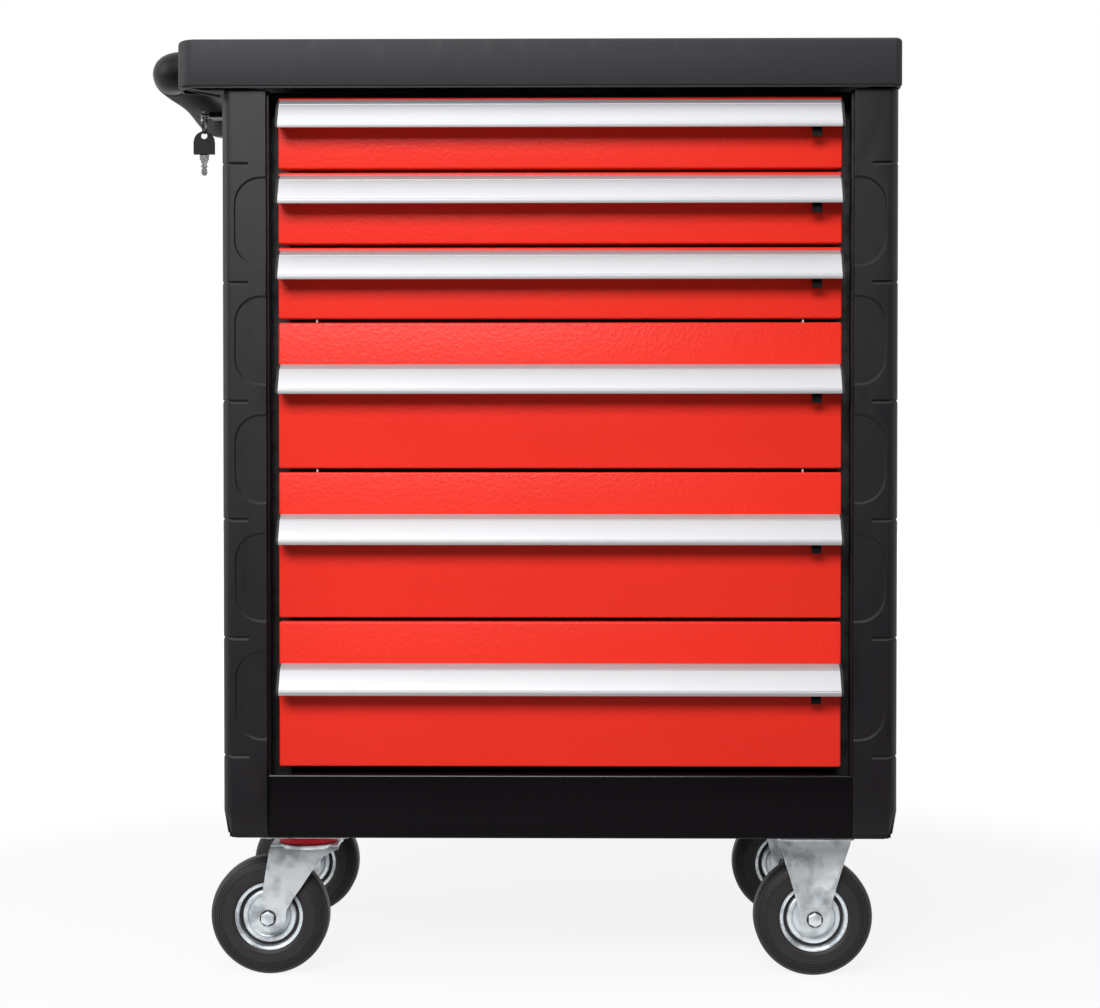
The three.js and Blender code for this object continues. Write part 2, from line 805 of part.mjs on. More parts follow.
function lockBody() {
  const r = lockPlugRadius + seatGap;
  const flange = -lockFlangeThickness - seatGap;
  return turned([
    [r, flange], [lockFlangeRadius, flange], [lockFlangeRadius, -seatGap],
    [lockBarrelRadius, -seatGap], [lockBarrelRadius, lockBarrelLength], [r, lockBarrelLength], [r, flange],
  ], axisX, lockPoint, smallSegments);
}

// The head of a key in a plane of two axes: a straight-sided plate with a round outer end
function keyHead(width, length) {
  const half = width / 2;
  const shape = new THREE.Shape();
  shape.moveTo(-half, 0);
  shape.lineTo(-half, length - half);
  shape.absarc(0, length - half, half, Math.PI, 0, true);
  shape.lineTo(half, 0);
  shape.closePath();
  return shape;
}

function keyHole(length) {
  const point = new THREE.Vector3(0, length - keyHoleSetback, 0);
  return rod(keyHoleRadius, axisZ, point, -keyHeadThickness, keyHeadThickness);
}

// A whole key head lying in X and Y, its round end towards +Y, thinner near the hole
function headSolid() {
  const thick = keyHeadThickness / 2;
  const thin = keyRimThickness / 2;
  const full = raise(keyHead(keyHeadWidth, keyHeadLength), -thick, thick);
  const rim = keyHeadLength - keyRimLength;
  const end = keyHeadLength + cutOverrun;
  const above = block(-keyHeadWidth, keyHeadWidth, rim, end, thin, thick + cutOverrun);
  const below = block(-keyHeadWidth, keyHeadWidth, rim, end, -thick - cutOverrun, -thin);
  return cut(full, above, below, keyHole(keyHeadLength));
}

function lockCylinder() {
  const face = -lockFlangeThickness - seatGap - lockPlugStand;
  const plug = rod(lockPlugRadius, axisX, lockPoint, face, lockBarrelLength + 2 * seatGap + camThickness);
  const stem = block(
    -steelSide + face - keyStem, -steelSide + face + lockPlugStand,
    lockPlace - keyShoulderWidth / 2, lockPlace + keyShoulderWidth / 2,
    lockHeight - keyBladeThickness / 2, lockHeight + keyBladeThickness / 2,
  );
  const turn = new THREE.Matrix4().makeBasis(axisY, axisX.clone().negate(), axisZ);
  turn.setPosition(-steelSide + face - keyStem + seatGap, lockPlace, lockHeight);
  const head = headSolid().transform(turn.elements);
  const camStart = -steelSide + lockBarrelLength + seatGap;
  const cam = block(
    camStart, camStart + camThickness, lockPlace - camWidth / 2, lockPlace + camWidth / 2,
    lockHeight - camLength, lockHeight,
  );
  return join(plug, stem, head, cam);
}

const headEnd = lockPoint.x - lockFlangeThickness - lockPlugStand - keyStem - keyHeadLength;
const holeX = headEnd + keyHoleSetback;
const ringPoint = new THREE.Vector3(holeX, lockPlace - ringShift, lockHeight - ringDrop);

function keyRing() {
  const section = Array.from({ length: wireSides + 1 }, (_, index) => {
    const angle = (index / wireSides) * 2 * Math.PI;
    return [ringRadius + ringWire * Math.cos(angle), ringWire * Math.sin(angle)];
  });
  return turned(section, axisX, ringPoint, hubSegments);
}

function spareKey() {
  const turn = new THREE.Matrix4().makeBasis(axisX, axisZ, axisY.clone().negate());
  const top = ringPoint.z - ringRadius - (keyHoleRadius - ringWire - seatGap) + keyHoleSetback;
  turn.setPosition(holeX, ringPoint.y, top - keyHeadLength);
  const head = headSolid().transform(turn.elements);
  const foot = top - keyHeadLength;
  const half = keyBladeThickness / 2;
  const shoulder = block(
    holeX - keyShoulderWidth / 2, holeX + keyShoulderWidth / 2, ringPoint.y - half, ringPoint.y + half,
    foot - keyShoulderLength, foot + keyShoulderLength,
  );
  const blade = block(
    holeX - keyBladeWidth / 2, holeX + keyBladeWidth / 2, ringPoint.y - half, ringPoint.y + half,
    foot - keyBladeLength, foot,
  );
  return join(head, shoulder, blade);
}

// Push handle

function handleBow() {
  const wallX = bayWall - seatGap;
  const armFront = gripFront - bowBend;
  const armBack = gripBack + bowBend;
  const point = (x, y) => new THREE.Vector3(x, y, gripHeight);
  const path = new THREE.CurvePath();
  path.add(new THREE.LineCurve3(point(wallX, armFront), point(gripAxis + bowBend, armFront)));
  path.add(new THREE.QuadraticBezierCurve3(
    point(gripAxis + bowBend, armFront), point(gripAxis, armFront), point(gripAxis, gripFront),
  ));
  path.add(new THREE.LineCurve3(point(gripAxis, gripFront), point(gripAxis, gripBack)));
  path.add(new THREE.QuadraticBezierCurve3(
    point(gripAxis, gripBack), point(gripAxis, armBack), point(gripAxis + bowBend, armBack),
  ));
  path.add(new THREE.LineCurve3(point(gripAxis + bowBend, armBack), point(wallX, armBack)));
  const section = new THREE.Shape();
  section.absarc(0, 0, bowRadius, 0, 2 * Math.PI);
  const geometry = new THREE.ExtrudeGeometry(section, {
    steps: bowSteps,
    curveSegments: smallSegments / 2,
    extrudePath: path,
  });
  return solidOf(geometry);
}

// A fat sleeve with a slimmer waist, threaded on the straight run of the bow
function handleGrip() {
  const bore = bowRadius + gripBoreGap;
  const rounding = Array.from({ length: roundingSteps + 1 }, (_, step) => {
    const angle = (Math.PI / 2) * (step / roundingSteps);
    return [
      gripRadius - gripEndRounding * (1 - Math.sin(angle)), gripEndRounding * (1 - Math.cos(angle)),
    ];
  });
  const sleeve = Array.from({ length: gripStations - 1 }, (_, index) => {
    const along = (index + 1) / gripStations;
    const waist = (1 - Math.cos(2 * Math.PI * along)) / 2;
    return [
      gripRadius - (gripRadius - gripWaistRadius) * waist,
      gripEndRounding + along * (gripLength - 2 * gripEndRounding),
    ];
  });
  const farRounding = rounding.map(([radius, height]) => [radius, gripLength - height]).reverse();
  return turned(
    [[bore, 0], ...rounding, ...sleeve, ...farRounding, [bore, gripLength], [bore, 0]],
    axisY, new THREE.Vector3(gripAxis, gripFront, gripHeight), smallSegments,
  );
}

function handleFlange(y) {
  const bore = bowRadius + gripBoreGap;
  return turned([
    [bore, 0], [flangeRadius, 0], [flangeRadius, -flangeThickness / 2],
    [flangeRadius - flangeThickness / 2, -flangeThickness], [bore, -flangeThickness], [bore, 0],
  ], axisX, new THREE.Vector3(bayWall - seatGap, y, gripHeight), smallSegments);
}

// Castors

const hubPoint = (x, y) => new THREE.Vector3(x, y, wheelRadius);

// The tyre stands on one of its flats, not on an edge between two
function tyre(x, y) {
  const half = tyreWidth / 2;
  const halfFacet = Math.PI / roundSegments;
  const treadRadius = wheelRadius / Math.cos(halfFacet);
  const shoulder = Array.from({ length: roundingSteps + 1 }, (_, index) => {
    const angle = (Math.PI / 2) * (index / roundingSteps);
    return [
      treadRadius - tyreShoulder * (1 - Math.sin(angle)),
      half - tyreShoulder * (1 - Math.cos(angle)),
    ];
  });
  const mirrored = shoulder.map(([radius, height]) => [radius, -height]).reverse();
  return turned([
    [tyreBoreRadius, half], ...shoulder, ...mirrored, [tyreBoreRadius, -half], [tyreBoreRadius, half],
  ], axisY, hubPoint(x, y), roundSegments, halfFacet);
}

function hub(x, y) {
  const half = rimWidth / 2;
  const tube = hubTubeLength / 2;
  const disc = half - hubDiscRecess;
  const side = [
    [hubBoreRadius, tube], [hubTubeRadius, tube], [hubTubeRadius, disc], [hubDiscRadius, disc],
    [rimLandRadius, half], [rimFlangeRadius, half],
  ];
  const mirrored = side.map(([radius, height]) => [radius, -height]).reverse();
  return turned([...side, ...mirrored, side[0]], axisY, hubPoint(x, y), hubSegments);
}

function axle(x, y) {
  const seat = legSpread / 2 + legThickness + seatGap;
  const end = seat + axleHeadThickness;
  return turned([
    [0, -end], [axleHeadRadius, -end], [axleHeadRadius, -seat], [axleRadius, -seat],
    [axleRadius, seat], [axleHeadRadius, seat], [axleHeadRadius, end], [0, end],
  ], axisY, hubPoint(x, y), smallSegments);
}

// A leg drawn in X and Z that ends round about the axle
function legOutline(x, axleX, leftTop, rightTop, top) {
  const shape = new THREE.Shape();
  const left = Math.atan2(leftTop + x - axleX, top - wheelRadius);
  const right = Math.atan2(rightTop + x - axleX, top - wheelRadius);
  const around = (angle) => [
    axleX + legEndRadius * Math.cos(angle), wheelRadius + legEndRadius * Math.sin(angle),
  ];
  const steps = 2 * cornerSegments;
  shape.moveTo(x + leftTop, top);
  shape.lineTo(...around(Math.PI + left / 2));
  for (let step = 1; step < steps; step += 1) {
    shape.lineTo(...around(Math.PI + (Math.PI * step) / steps));
  }
  shape.lineTo(...around(-right / 2));
  shape.lineTo(x + rightTop, top);
  shape.closePath();
  return shape;
}

function legs(outline, y) {
  const inner = legSpread / 2;
  return [
    alongY(outline, y - inner - legThickness, y - inner),
    alongY(outline, y + inner, y + inner + legThickness),
  ];
}

function axleHole(x, y) {
  return rod(axleRadius + seatGap, axisY, hubPoint(x, y), -legSpread, legSpread);
}

function fixedBracket(x, y) {
  const top = casterHeight;
  const halfWidth = fixedPlateWidth / 2;
  const plate = block(
    x - halfWidth, x + halfWidth, y - fixedPlateDepth / 2, y + fixedPlateDepth / 2,
    top - casterPlateThickness, top,
  );
  const outline = legOutline(x, x, -halfWidth, halfWidth, top - casterPlateThickness / 2);
  return cut(join(plate, ...legs(outline, y)), axleHole(x, y));
}

const swivelRingTop = casterHeight - casterPlateThickness - seatGap;
const crownTop = swivelRingTop - swivelRingHeight - seatGap;

// The mounting plate with the kingpin that carries the ring and the fork
function swivelPlate(x, y) {
  const top = casterHeight;
  const plate = block(
    x - swivelPlateWidth / 2, x + swivelPlateWidth / 2,
    y - swivelPlateDepth / 2, y + swivelPlateDepth / 2, top - casterPlateThickness, top,
  );
  const point = new THREE.Vector3(x, y, 0);
  const headTop = crownTop - forkCrownThickness - seatGap;
  const pin = turned([
    [0, headTop - kingpinHeadThickness], [kingpinHeadRadius, headTop - kingpinHeadThickness],
    [kingpinHeadRadius, headTop], [kingpinRadius, headTop],
    [kingpinRadius, top - casterPlateThickness / 2], [0, top - casterPlateThickness / 2],
  ], axisZ, point, smallSegments);
  return join(plate, pin);
}

function swivelRing(x, y) {
  return turned([
    [swivelRingBore, 0], [swivelRingRadius, 0], [swivelRingRadius, swivelRingHeight],
    [swivelRingBore, swivelRingHeight], [swivelRingBore, 0],
  ], axisZ, new THREE.Vector3(x, y, crownTop + seatGap), roundSegments / 2);
}

function swivelFork(x, y) {
  const axleX = x - forkTrail;
  const bottom = crownTop - forkCrownThickness;
  const half = legSpread / 2 + legThickness;
  const corners = [legThickness, half / 2, half / 2, legThickness];
  const crown = raise(
    roundedRectangle(x - forkCrownBack, x + forkCrownFront, y - half, y + half, corners),
    bottom, crownTop,
  );
  const legTop = crownTop - forkCrownThickness / 2;
  const outline = legOutline(x, axleX, -forkCrownBack, forkCrownFront - half / 2, legTop);
  const hole = rod(
    kingpinRadius + seatGap, axisZ, new THREE.Vector3(x, y, 0), bottom - cutOverrun, crownTop + cutOverrun,
  );
  return cut(join(crown, ...legs(outline, y)), hole, axleHole(axleX, y));
}

// Assembly

addPiece('worktop', worktop(), finishes.worktopPlastic);
addPiece('left_side_panel', sidePanel(-1), finishes.blackPaint);
addPiece('right_side_panel', sidePanel(1), finishes.blackPaint);
addPiece('back_panel', backPanel(), finishes.blackPaint);
addPiece('base_panel', basePanel(), finishes.blackPaint);
addPiece('top_frame', topFrame(), finishes.blackPaint);
addPiece('kick_panel', kickPanel(), finishes.blackPaint);
addPiece('left_runner_rack', runnerRack(-1), finishes.zinc);
addPiece('right_runner_rack', runnerRack(1), finishes.zinc);
addPiece('locking_bar', lockingBar(), finishes.zinc);

for (const [side, sideName] of [[-1, 'left'], [1, 'right']]) {
  for (const [end, endName] of [[-1, 'front'], [1, 'rear']]) {
    addPiece(`${endName}_${sideName}_post`, cornerPost(side, end), finishes.bumperPlastic);
  }
}

for (const drawer of drawers) {
  addPiece(`drawer_${drawer.number}`, drawerTray(drawer), finishes.redPaint);
  addPiece(`handle_strip_${drawer.number}`, handleStrip(drawer), finishes.brushedAluminium);
  addPiece(`latch_tab_${drawer.number}`, latchTab(drawer), finishes.blackPlastic);
}

addPiece('handle_bow', handleBow(), finishes.blackPlastic);
addPiece('handle_grip', handleGrip(), finishes.gripRubber);
addPiece('handle_front_flange', handleFlange(gripFront - bowBend), finishes.blackPlastic);
addPiece('handle_rear_flange', handleFlange(gripBack + bowBend), finishes.blackPlastic);
addPiece('lock_body', lockBody(), finishes.nickel);
addPiece('lock_cylinder', lockCylinder(), finishes.blackPlastic);
addPiece('key_ring', keyRing(), finishes.nickel);
addPiece('spare_key', spareKey(), finishes.blackPlastic);

for (const [y, endName] of [[casterFront, 'front'], [casterBack, 'rear']]) {
  const left = -casterPlace;
  addPiece(`${endName}_swivel_plate`, swivelPlate(left, y), finishes.zinc);
  addPiece(`${endName}_swivel_ring`, swivelRing(left, y), finishes.redPlastic);
  addPiece(`${endName}_swivel_fork`, swivelFork(left, y), finishes.zinc);
  addPiece(`${endName}_fixed_bracket`, fixedBracket(casterPlace, y), finishes.zinc);
  for (const [x, sideName] of [[left - forkTrail, 'left'], [casterPlace, 'right']]) {
    addPiece(`${endName}_${sideName}_tyre`, tyre(x, y), finishes.rubber);
    addPiece(`${endName}_${sideName}_hub`, hub(x, y), finishes.zinc);
    addPiece(`${endName}_${sideName}_axle`, axle(x, y), finishes.zinc);
  }
}

export default group;
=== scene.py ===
# %% [markdown]
# # A rolling tool cart
# Six red drawers with full-width pull strips sit in a black steel cabinet. A moulded worktop
# covers it, four plastic bumpers guard its corners, and it rolls on two swivel and two fixed
# castors. The measured solids of the cart are loaded first. This lesson dresses them: every
# piece that shows is modelled anew at the place of its solid, and plain sheet metal keeps the
# form of its solid and gets soft edges and a paint.

# %% The frame
import json
import math

import bmesh
import bpy
from mathutils import Matrix, Vector


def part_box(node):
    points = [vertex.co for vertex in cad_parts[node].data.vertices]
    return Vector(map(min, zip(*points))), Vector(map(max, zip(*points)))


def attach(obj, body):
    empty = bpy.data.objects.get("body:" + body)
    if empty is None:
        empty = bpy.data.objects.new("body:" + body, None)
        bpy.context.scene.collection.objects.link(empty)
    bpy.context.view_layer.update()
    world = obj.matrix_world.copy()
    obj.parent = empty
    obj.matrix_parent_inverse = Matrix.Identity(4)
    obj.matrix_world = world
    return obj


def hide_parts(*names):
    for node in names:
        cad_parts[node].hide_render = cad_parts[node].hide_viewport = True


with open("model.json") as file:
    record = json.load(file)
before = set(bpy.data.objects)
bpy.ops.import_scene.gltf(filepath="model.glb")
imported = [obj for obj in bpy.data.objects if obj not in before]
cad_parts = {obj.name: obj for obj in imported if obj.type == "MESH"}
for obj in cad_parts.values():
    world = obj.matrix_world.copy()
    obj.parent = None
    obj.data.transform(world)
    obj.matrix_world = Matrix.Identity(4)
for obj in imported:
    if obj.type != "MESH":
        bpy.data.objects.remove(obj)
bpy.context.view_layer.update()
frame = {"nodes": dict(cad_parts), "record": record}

MM = 0.001
TINY = 0.01 * MM
X, Y, Z = Vector((1, 0, 0)), Vector((0, 1, 0)), Vector((0, 0, 1))
QUARTER_X = Matrix.Rotation(math.radians(90), 3, "X")
CORNERS = [(end, side) for end in ("front", "rear") for side in ("left", "right")]

# %% [markdown]
# ## The camera
# The photograph looks almost straight at the drawers from a little over two metres. The eye is
# just above the middle of the cart, turned a touch to the left and tipped a degree down, so
# that the sides of the cabinet lean in slightly towards the floor. A plain camera with these
# angles needs no shift.

# %% Camera
photo_width, focal_pixels = 1100, 2076
eye, degrees_down, degrees_left = (0.0586, -2.31, 0.5286), 1.01, 0.72
camera_data = bpy.data.cameras.new("Camera")
camera_data.sensor_width = 36
camera_data.sensor_fit = "HORIZONTAL"
camera_data.lens = camera_data.sensor_width * focal_pixels / photo_width
camera_data.clip_end = 100
camera = bpy.data.objects.new("Camera", camera_data)
camera.location = eye
camera.rotation_euler = (math.radians(90 - degrees_down), 0, math.radians(degrees_left))
bpy.context.scene.collection.objects.link(camera)
bpy.context.scene.camera = camera
print("lens", round(camera_data.lens, 1), "mm")

# %% [markdown]
# ## Materials as sums
# A material is a net of nodes. Writing it as sums keeps it readable: a small class holds one
# socket of a node, and Python's own signs add the Math nodes. All other nodes come from one
# method, which sets a node's options first and then feeds its sockets.

# %% Sockets that can be added and multiplied
class Wire:
    """The output socket of a node, with signs that add Math nodes after it."""

    def __init__(self, finish, socket):
        self.finish, self.socket = finish, socket

    def math(self, operation, *values, **options):
        settings = {"operation": operation, **options}
        return self.finish.node("ShaderNodeMath", settings, dict(enumerate(values)))

    def __add__(self, other):
        return self.math("ADD", self, other)

    def __sub__(self, other):
        return self.math("SUBTRACT", self, other)

    def __mul__(self, other):
        return self.math("MULTIPLY", self, other)

    def above(self, threshold, blur):
        """Climbs from 0 to 1 round a threshold, over a width."""
        return self.math("MULTIPLY_ADD", self, 1 / blur, 0.5 - threshold / blur, use_clamp=True)


# %% One finish and its nodes
class Finish:
    """A material whose nodes are added by name."""

    def __init__(self, name, **constants):
        self.material = bpy.data.materials.new(name)
        self.material.use_nodes = True
        self.nodes = self.material.node_tree.nodes
        self.shader = self.nodes["Principled BSDF"]
        self.place = self.node("ShaderNodeTexCoord", output="Object")
        self.set(**constants)

    def node(self, kind, settings=None, sockets=None, output=0):
        made = self.nodes.new(kind)
        for option, value in (settings or {}).items():
            setattr(made, option, value)
        for socket, value in (sockets or {}).items():
            self.feed(made.inputs[socket], value)
        return Wire(self, made.outputs[output])

    def feed(self, socket, value):
        if isinstance(value, Wire):
            self.material.node_tree.links.new(value.socket, socket)
        else:
            socket.default_value = value

    def noise(self, scale, detail=2, stretch=(1, 1, 1), rough=0.5):
        """Cloudy noise with this many cells to a metre, stretched along the axes."""
        place = self.node("ShaderNodeMapping", None, {"Vector": self.place, "Scale": stretch})
        sockets = {"Vector": place, "Scale": scale, "Detail": detail, "Roughness": rough}
        return self.node("ShaderNodeTexNoise", None, sockets)

    def mix(self, amount, first, second):
        """A colour between two colours."""
        sockets = {0: amount, 6: first, 7: second}
        return self.node("ShaderNodeMix", {"data_type": "RGBA"}, sockets, output=2)

    def bump(self, height, depth, under=None):
        """Turns heights of 0 to 1 into slopes as steep as this depth in metres gives."""
        sockets = {"Height": height, "Distance": depth, "Strength": 1}
        if under is not None:
            sockets["Normal"] = under
        return self.node("ShaderNodeBump", None, sockets, output="Normal")

    def set(self, **sockets):
        for socket, value in sockets.items():
            self.feed(self.shader.inputs[socket.replace("_", " ")], value)
        return self.material


def shade(color, factor):
    """A colour made lighter or darker."""
    return tuple(min(level * factor, 1) for level in color[:3]) + (1,)


# %% [markdown]
# ## Light and surroundings
# A studio set for a glossy product has three parts: a large soft key lamp in front and
# above, a bright surround that fills the shadows, and a painted dark reflection, which keeps
# flat black paint black. The surround is the world: it is white where the camera, a shiny
# surface or glass looks at it, and a weaker grey where it lights dull surfaces. The painted
# dark reflection is two big cards that only mirrors see: one stands behind the camera, the
# other lies on the floor in front of the cart.

# %% World
fill_strength, fill_color, white = 0.07, (0.93, 0.96, 1, 1), (1, 1, 1, 1)
seen_rays = ("Is Camera Ray", "Is Glossy Ray", "Is Transmission Ray")
world = bpy.data.worlds.new("Studio")
world.use_nodes = True
bpy.context.scene.world = world
bpy.context.scene.view_settings.view_transform = "Standard"
world_nodes, world_links = world.node_tree.nodes, world.node_tree.links
world_nodes.clear()


def background(color, strength):
    made = world_nodes.new("ShaderNodeBackground")
    made.inputs["Color"].default_value = color
    made.inputs["Strength"].default_value = strength
    return made.outputs[0]


light_path = world_nodes.new("ShaderNodeLightPath")
seen = light_path.outputs[seen_rays[0]]
for ray in seen_rays[1:]:
    either = world_nodes.new("ShaderNodeMath")
    either.operation = "MAXIMUM"
    world_links.new(seen, either.inputs[0])
    world_links.new(light_path.outputs[ray], either.inputs[1])
    seen = either.outputs[0]
world_mix = world_nodes.new("ShaderNodeMixShader")
world_output = world_nodes.new("ShaderNodeOutputWorld")
fill, surround = background(fill_color, fill_strength), background(white, 1)
for index, socket in enumerate((seen, fill, surround)):
    world_links.new(socket, world_mix.inputs[index])
world_links.new(world_mix.outputs[0], world_output.inputs[0])
print("fill light", fill_strength)

# %% Lamps
aim = Vector((0, 0, 0.5))


def soft_lamp(name, place, width, height, watts):
    """An area lamp that looks at the middle of the cart."""
    data = bpy.data.lights.new(name, "AREA")
    data.shape, data.size, data.size_y, data.energy = "RECTANGLE", width, height, watts
    lamp = bpy.data.objects.new(name, data)
    lamp.location = place
    lamp.rotation_euler = (aim - Vector(place)).to_track_quat("-Z", "Y").to_euler()
    bpy.context.scene.collection.objects.link(lamp)
    return lamp


lamps = [
    soft_lamp("Key", place=(-0.95, -3.6, 2.6), width=2.8, height=1.6, watts=178),
    soft_lamp("Top", place=(0.0, -0.7, 3.3), width=2.6, height=2.0, watts=30),
    soft_lamp("Side", place=(-3.1, -0.4, 1.6), width=1.2, height=1.8, watts=26),
]
print("lamps", [lamp.name for lamp in lamps])

# %% [markdown]
# ## The floor
# The floor is a pale sheet that runs far past the view. It has to look white like the paper of
# a catalogue, yet keep the soft shadow under the wheels. A mix does both: where the camera, a
# shiny surface or glass sees the floor, most of its light comes from a white glow, and the rest
# from a plain diffuse surface that the shadow still darkens.

# %% Floor and dark reflection cards
floor_size, card_size, card_distance, card_middle = 30, 9, 5.2, 1.2
floor_card_start, floor_card_height = 0.5, 0.004
dull_level, glow_strength = 0.34, 1.26
near_share, far_share, near_reach, blur = 0.7, 0.93, 1.3, 0.9


def flat_sheet(name, size, turn, place, material):
    """One square face as a stage piece."""
    bm = bmesh.new()
    bmesh.ops.create_grid(bm, x_segments=1, y_segments=1, size=size / 2)
    bmesh.ops.rotate(bm, cent=(0, 0, 0), matrix=turn, verts=bm.verts)
    bmesh.ops.translate(bm, vec=place, verts=bm.verts)
    mesh = bpy.data.meshes.new(name)
    bm.to_mesh(mesh)
    bm.free()
    mesh.materials.append(material)
    sheet = bpy.data.objects.new(name, mesh)
    bpy.context.scene.collection.objects.link(sheet)
    return sheet


paper = Finish("floor_paper")
paper.nodes.remove(paper.shader)
dull = paper.node("ShaderNodeBsdfDiffuse", None, {"Color": shade(white, dull_level)})
glow = paper.node("ShaderNodeEmission", None, {"Color": white, "Strength": glow_strength})
seen_share, *other_rays = [paper.node("ShaderNodeLightPath", output=ray) for ray in seen_rays]
for ray in other_rays:
    seen_share = seen_share.math("MAXIMUM", seen_share, ray)
as_length = {"operation": "LENGTH"}
reach = paper.node("ShaderNodeVectorMath", as_length, {0: paper.place}, output="Value")
glow_share = reach.above(near_reach, blur) * (far_share - near_share) + near_share
blend = paper.node("ShaderNodeMixShader", None, {0: seen_share * glow_share, 1: dull, 2: glow})
paper.feed(paper.nodes["Material Output"].inputs["Surface"], blend)

flat = Matrix.Identity(3)
floor = flat_sheet("Floor", floor_size, flat, (0, 0, 0), paper.material)
# Cards seen only by mirrors: a painted dark reflection.
dark_reflection = Finish("dark_reflection", Roughness=1, Base_Color=(0.012, 0.012, 0.013, 1)).material
behind = (0, -card_distance, card_middle)
below = (0, -card_size / 2 - floor_card_start, floor_card_height)
back_card = flat_sheet("Dark_card", card_size, QUARTER_X, behind, dark_reflection)
floor_card = flat_sheet("Dark_floor_card", card_size, flat, below, dark_reflection)
for card in (back_card, floor_card):
    for kind in ("camera", "diffuse", "transmission", "shadow"):
        setattr(card, "visible_" + kind, False)
print("stage", [sheet.name for sheet in (floor, back_card, floor_card)])

# %% [markdown]
# ## Red powder coat
# Powder paint is baked on as a thick skin that never settles quite flat. At arm's length it
# shows as orange peel: soft dimples two or three millimetres apart. Two noises make it, a
# coarse one for the dimples and a fine one for the grit between them, and a third, slow one
# varies the gloss.

# %% Painted steel
gloss_drift = 0.06


def powder_coat(name, color, roughness, peel, shine=0.4):
    """Baked paint with orange peel of this depth in metres."""
    finish = Finish(name, IOR=1.48, Specular_IOR_Level=shine)
    slow = finish.noise(5, detail=3)
    dimples = finish.noise(330, detail=1)
    grit = finish.noise(900)
    return finish.set(
        Base_Color=finish.mix(slow, shade(color, 0.95), shade(color, 1.05)),
        Roughness=slow * gloss_drift + (roughness - gloss_drift / 2),
        Normal=finish.bump(grit, peel / 5, under=finish.bump(dimples, peel)),
    )


red_paint = powder_coat("red_paint", (0.87, 0.031, 0.017), 0.32, peel=0.26 * MM, shine=0.24)
black_paint = powder_coat("black_paint", (0.0085, 0.0065, 0.0075), 0.34, peel=0.05 * MM)
gloss_black = (0.0058, 0.0046, 0.006)
gloss_black_paint = powder_coat("gloss_black_paint", gloss_black, 0.16, peel=0.02 * MM)
print("paints", [paint.name for paint in (red_paint, black_paint, gloss_black_paint)])

# %% [markdown]
# ## Moulded black plastic
# The worktop and the bumpers are moulded in a mould with an etched grain, so their black is
# matt and a little grey. The grain is a bump of about half a millimetre. Handling leaves faint
# rubbed streaks, which only change the roughness.

# %% Moulded plastics
cloud_drift = 0.1


def moulded(name, color, roughness, grain_depth, grain_cells=1500, rubbed=0.07, shine=0.3):
    """Grained plastic with soft clouds of tone and rubbed streaks."""
    finish = Finish(name, IOR=1.46, Specular_IOR_Level=shine)
    clouds = finish.noise(7, detail=4, rough=0.6)
    streaks = finish.noise(60, detail=4, stretch=(1, 0.3, 0.3), rough=0.6).above(0.6, 0.16)
    grain = finish.noise(grain_cells)
    return finish.set(
        Base_Color=finish.mix(clouds, shade(color, 0.86), shade(color, 1.14)),
        Roughness=clouds * cloud_drift + (roughness - cloud_drift / 2) - streaks * rubbed,
        Normal=finish.bump(grain, grain_depth),
    )


worktop_plastic = moulded("worktop_plastic", (0.0205, 0.0185, 0.022), 0.55, 0.06 * MM)
bumper_plastic = moulded("bumper_plastic", (0.009, 0.0072, 0.009), 0.45, 0.04 * MM, shine=0.36)
fine = {"grain_depth": 0.02 * MM, "grain_cells": 2200, "rubbed": 0.05}
black_plastic = moulded("black_plastic", (0.007, 0.006, 0.0065), 0.4, shine=0.16, **fine)
cap_plastic = moulded("cap_plastic", (0.03, 0.03, 0.033), 0.5, shine=0.2, **fine)
grip_rubber = moulded("grip_rubber", (0.07, 0.068, 0.07), 0.68, 0.09 * MM, grain_cells=900,
                      rubbed=0.1)
nylon = moulded("nylon", (0.5, 0.5, 0.48), 0.45, 0.01 * MM, grain_cells=2600, rubbed=0.05)
# The ring's own red, raised to full brightness as painted light: it stands in for the front light
# that the cabinet's shadow keeps off it.
brightened_ring_red = moulded("red_plastic", (1.0, 0.024, 0.045), 0.4, 0.02 * MM, grain_cells=2000,
                   rubbed=0.08)
print("castor ring wears", brightened_ring_red.name)

# %% [markdown]
# ## Tyre rubber
# Rubber scatters light widely. Dust settles in its pores, so a slow noise lifts the tone in
# patches, and a fine grain breaks up the sheen.

# %% Rubber
rubber = Finish("tyre_rubber", IOR=1.5, Specular_IOR_Level=0.35)
dust = rubber.noise(38, detail=4, rough=0.65)
pores = rubber.noise(1100)
tyre_rubber = rubber.set(
    Base_Color=rubber.mix(dust, (0.012, 0.0105, 0.011, 1), (0.029, 0.0255, 0.0265, 1)),
    Roughness=dust * 0.16 + 0.46,
    Normal=rubber.bump(pores, 0.06 * MM),
)
print("rubber nodes", len(rubber.nodes))

# %% [markdown]
# ## Metals
# Zinc plate is bright, cloudy and faintly blue or yellow in places, with dark patches that are
# partly smudges and partly painted dark reflection. The pull strips are satin anodised aluminium,
# with hair lines along their length from the extruder. Nickel on the lock, ring and blades is
# smoother and darker. The racks and the bar inside the cabinet and the washers under the axle
# bolts wear a dull dark grey steel that is painted shade: it darkens the recess beside the
# drawers and draws a shadow round each bolt head.

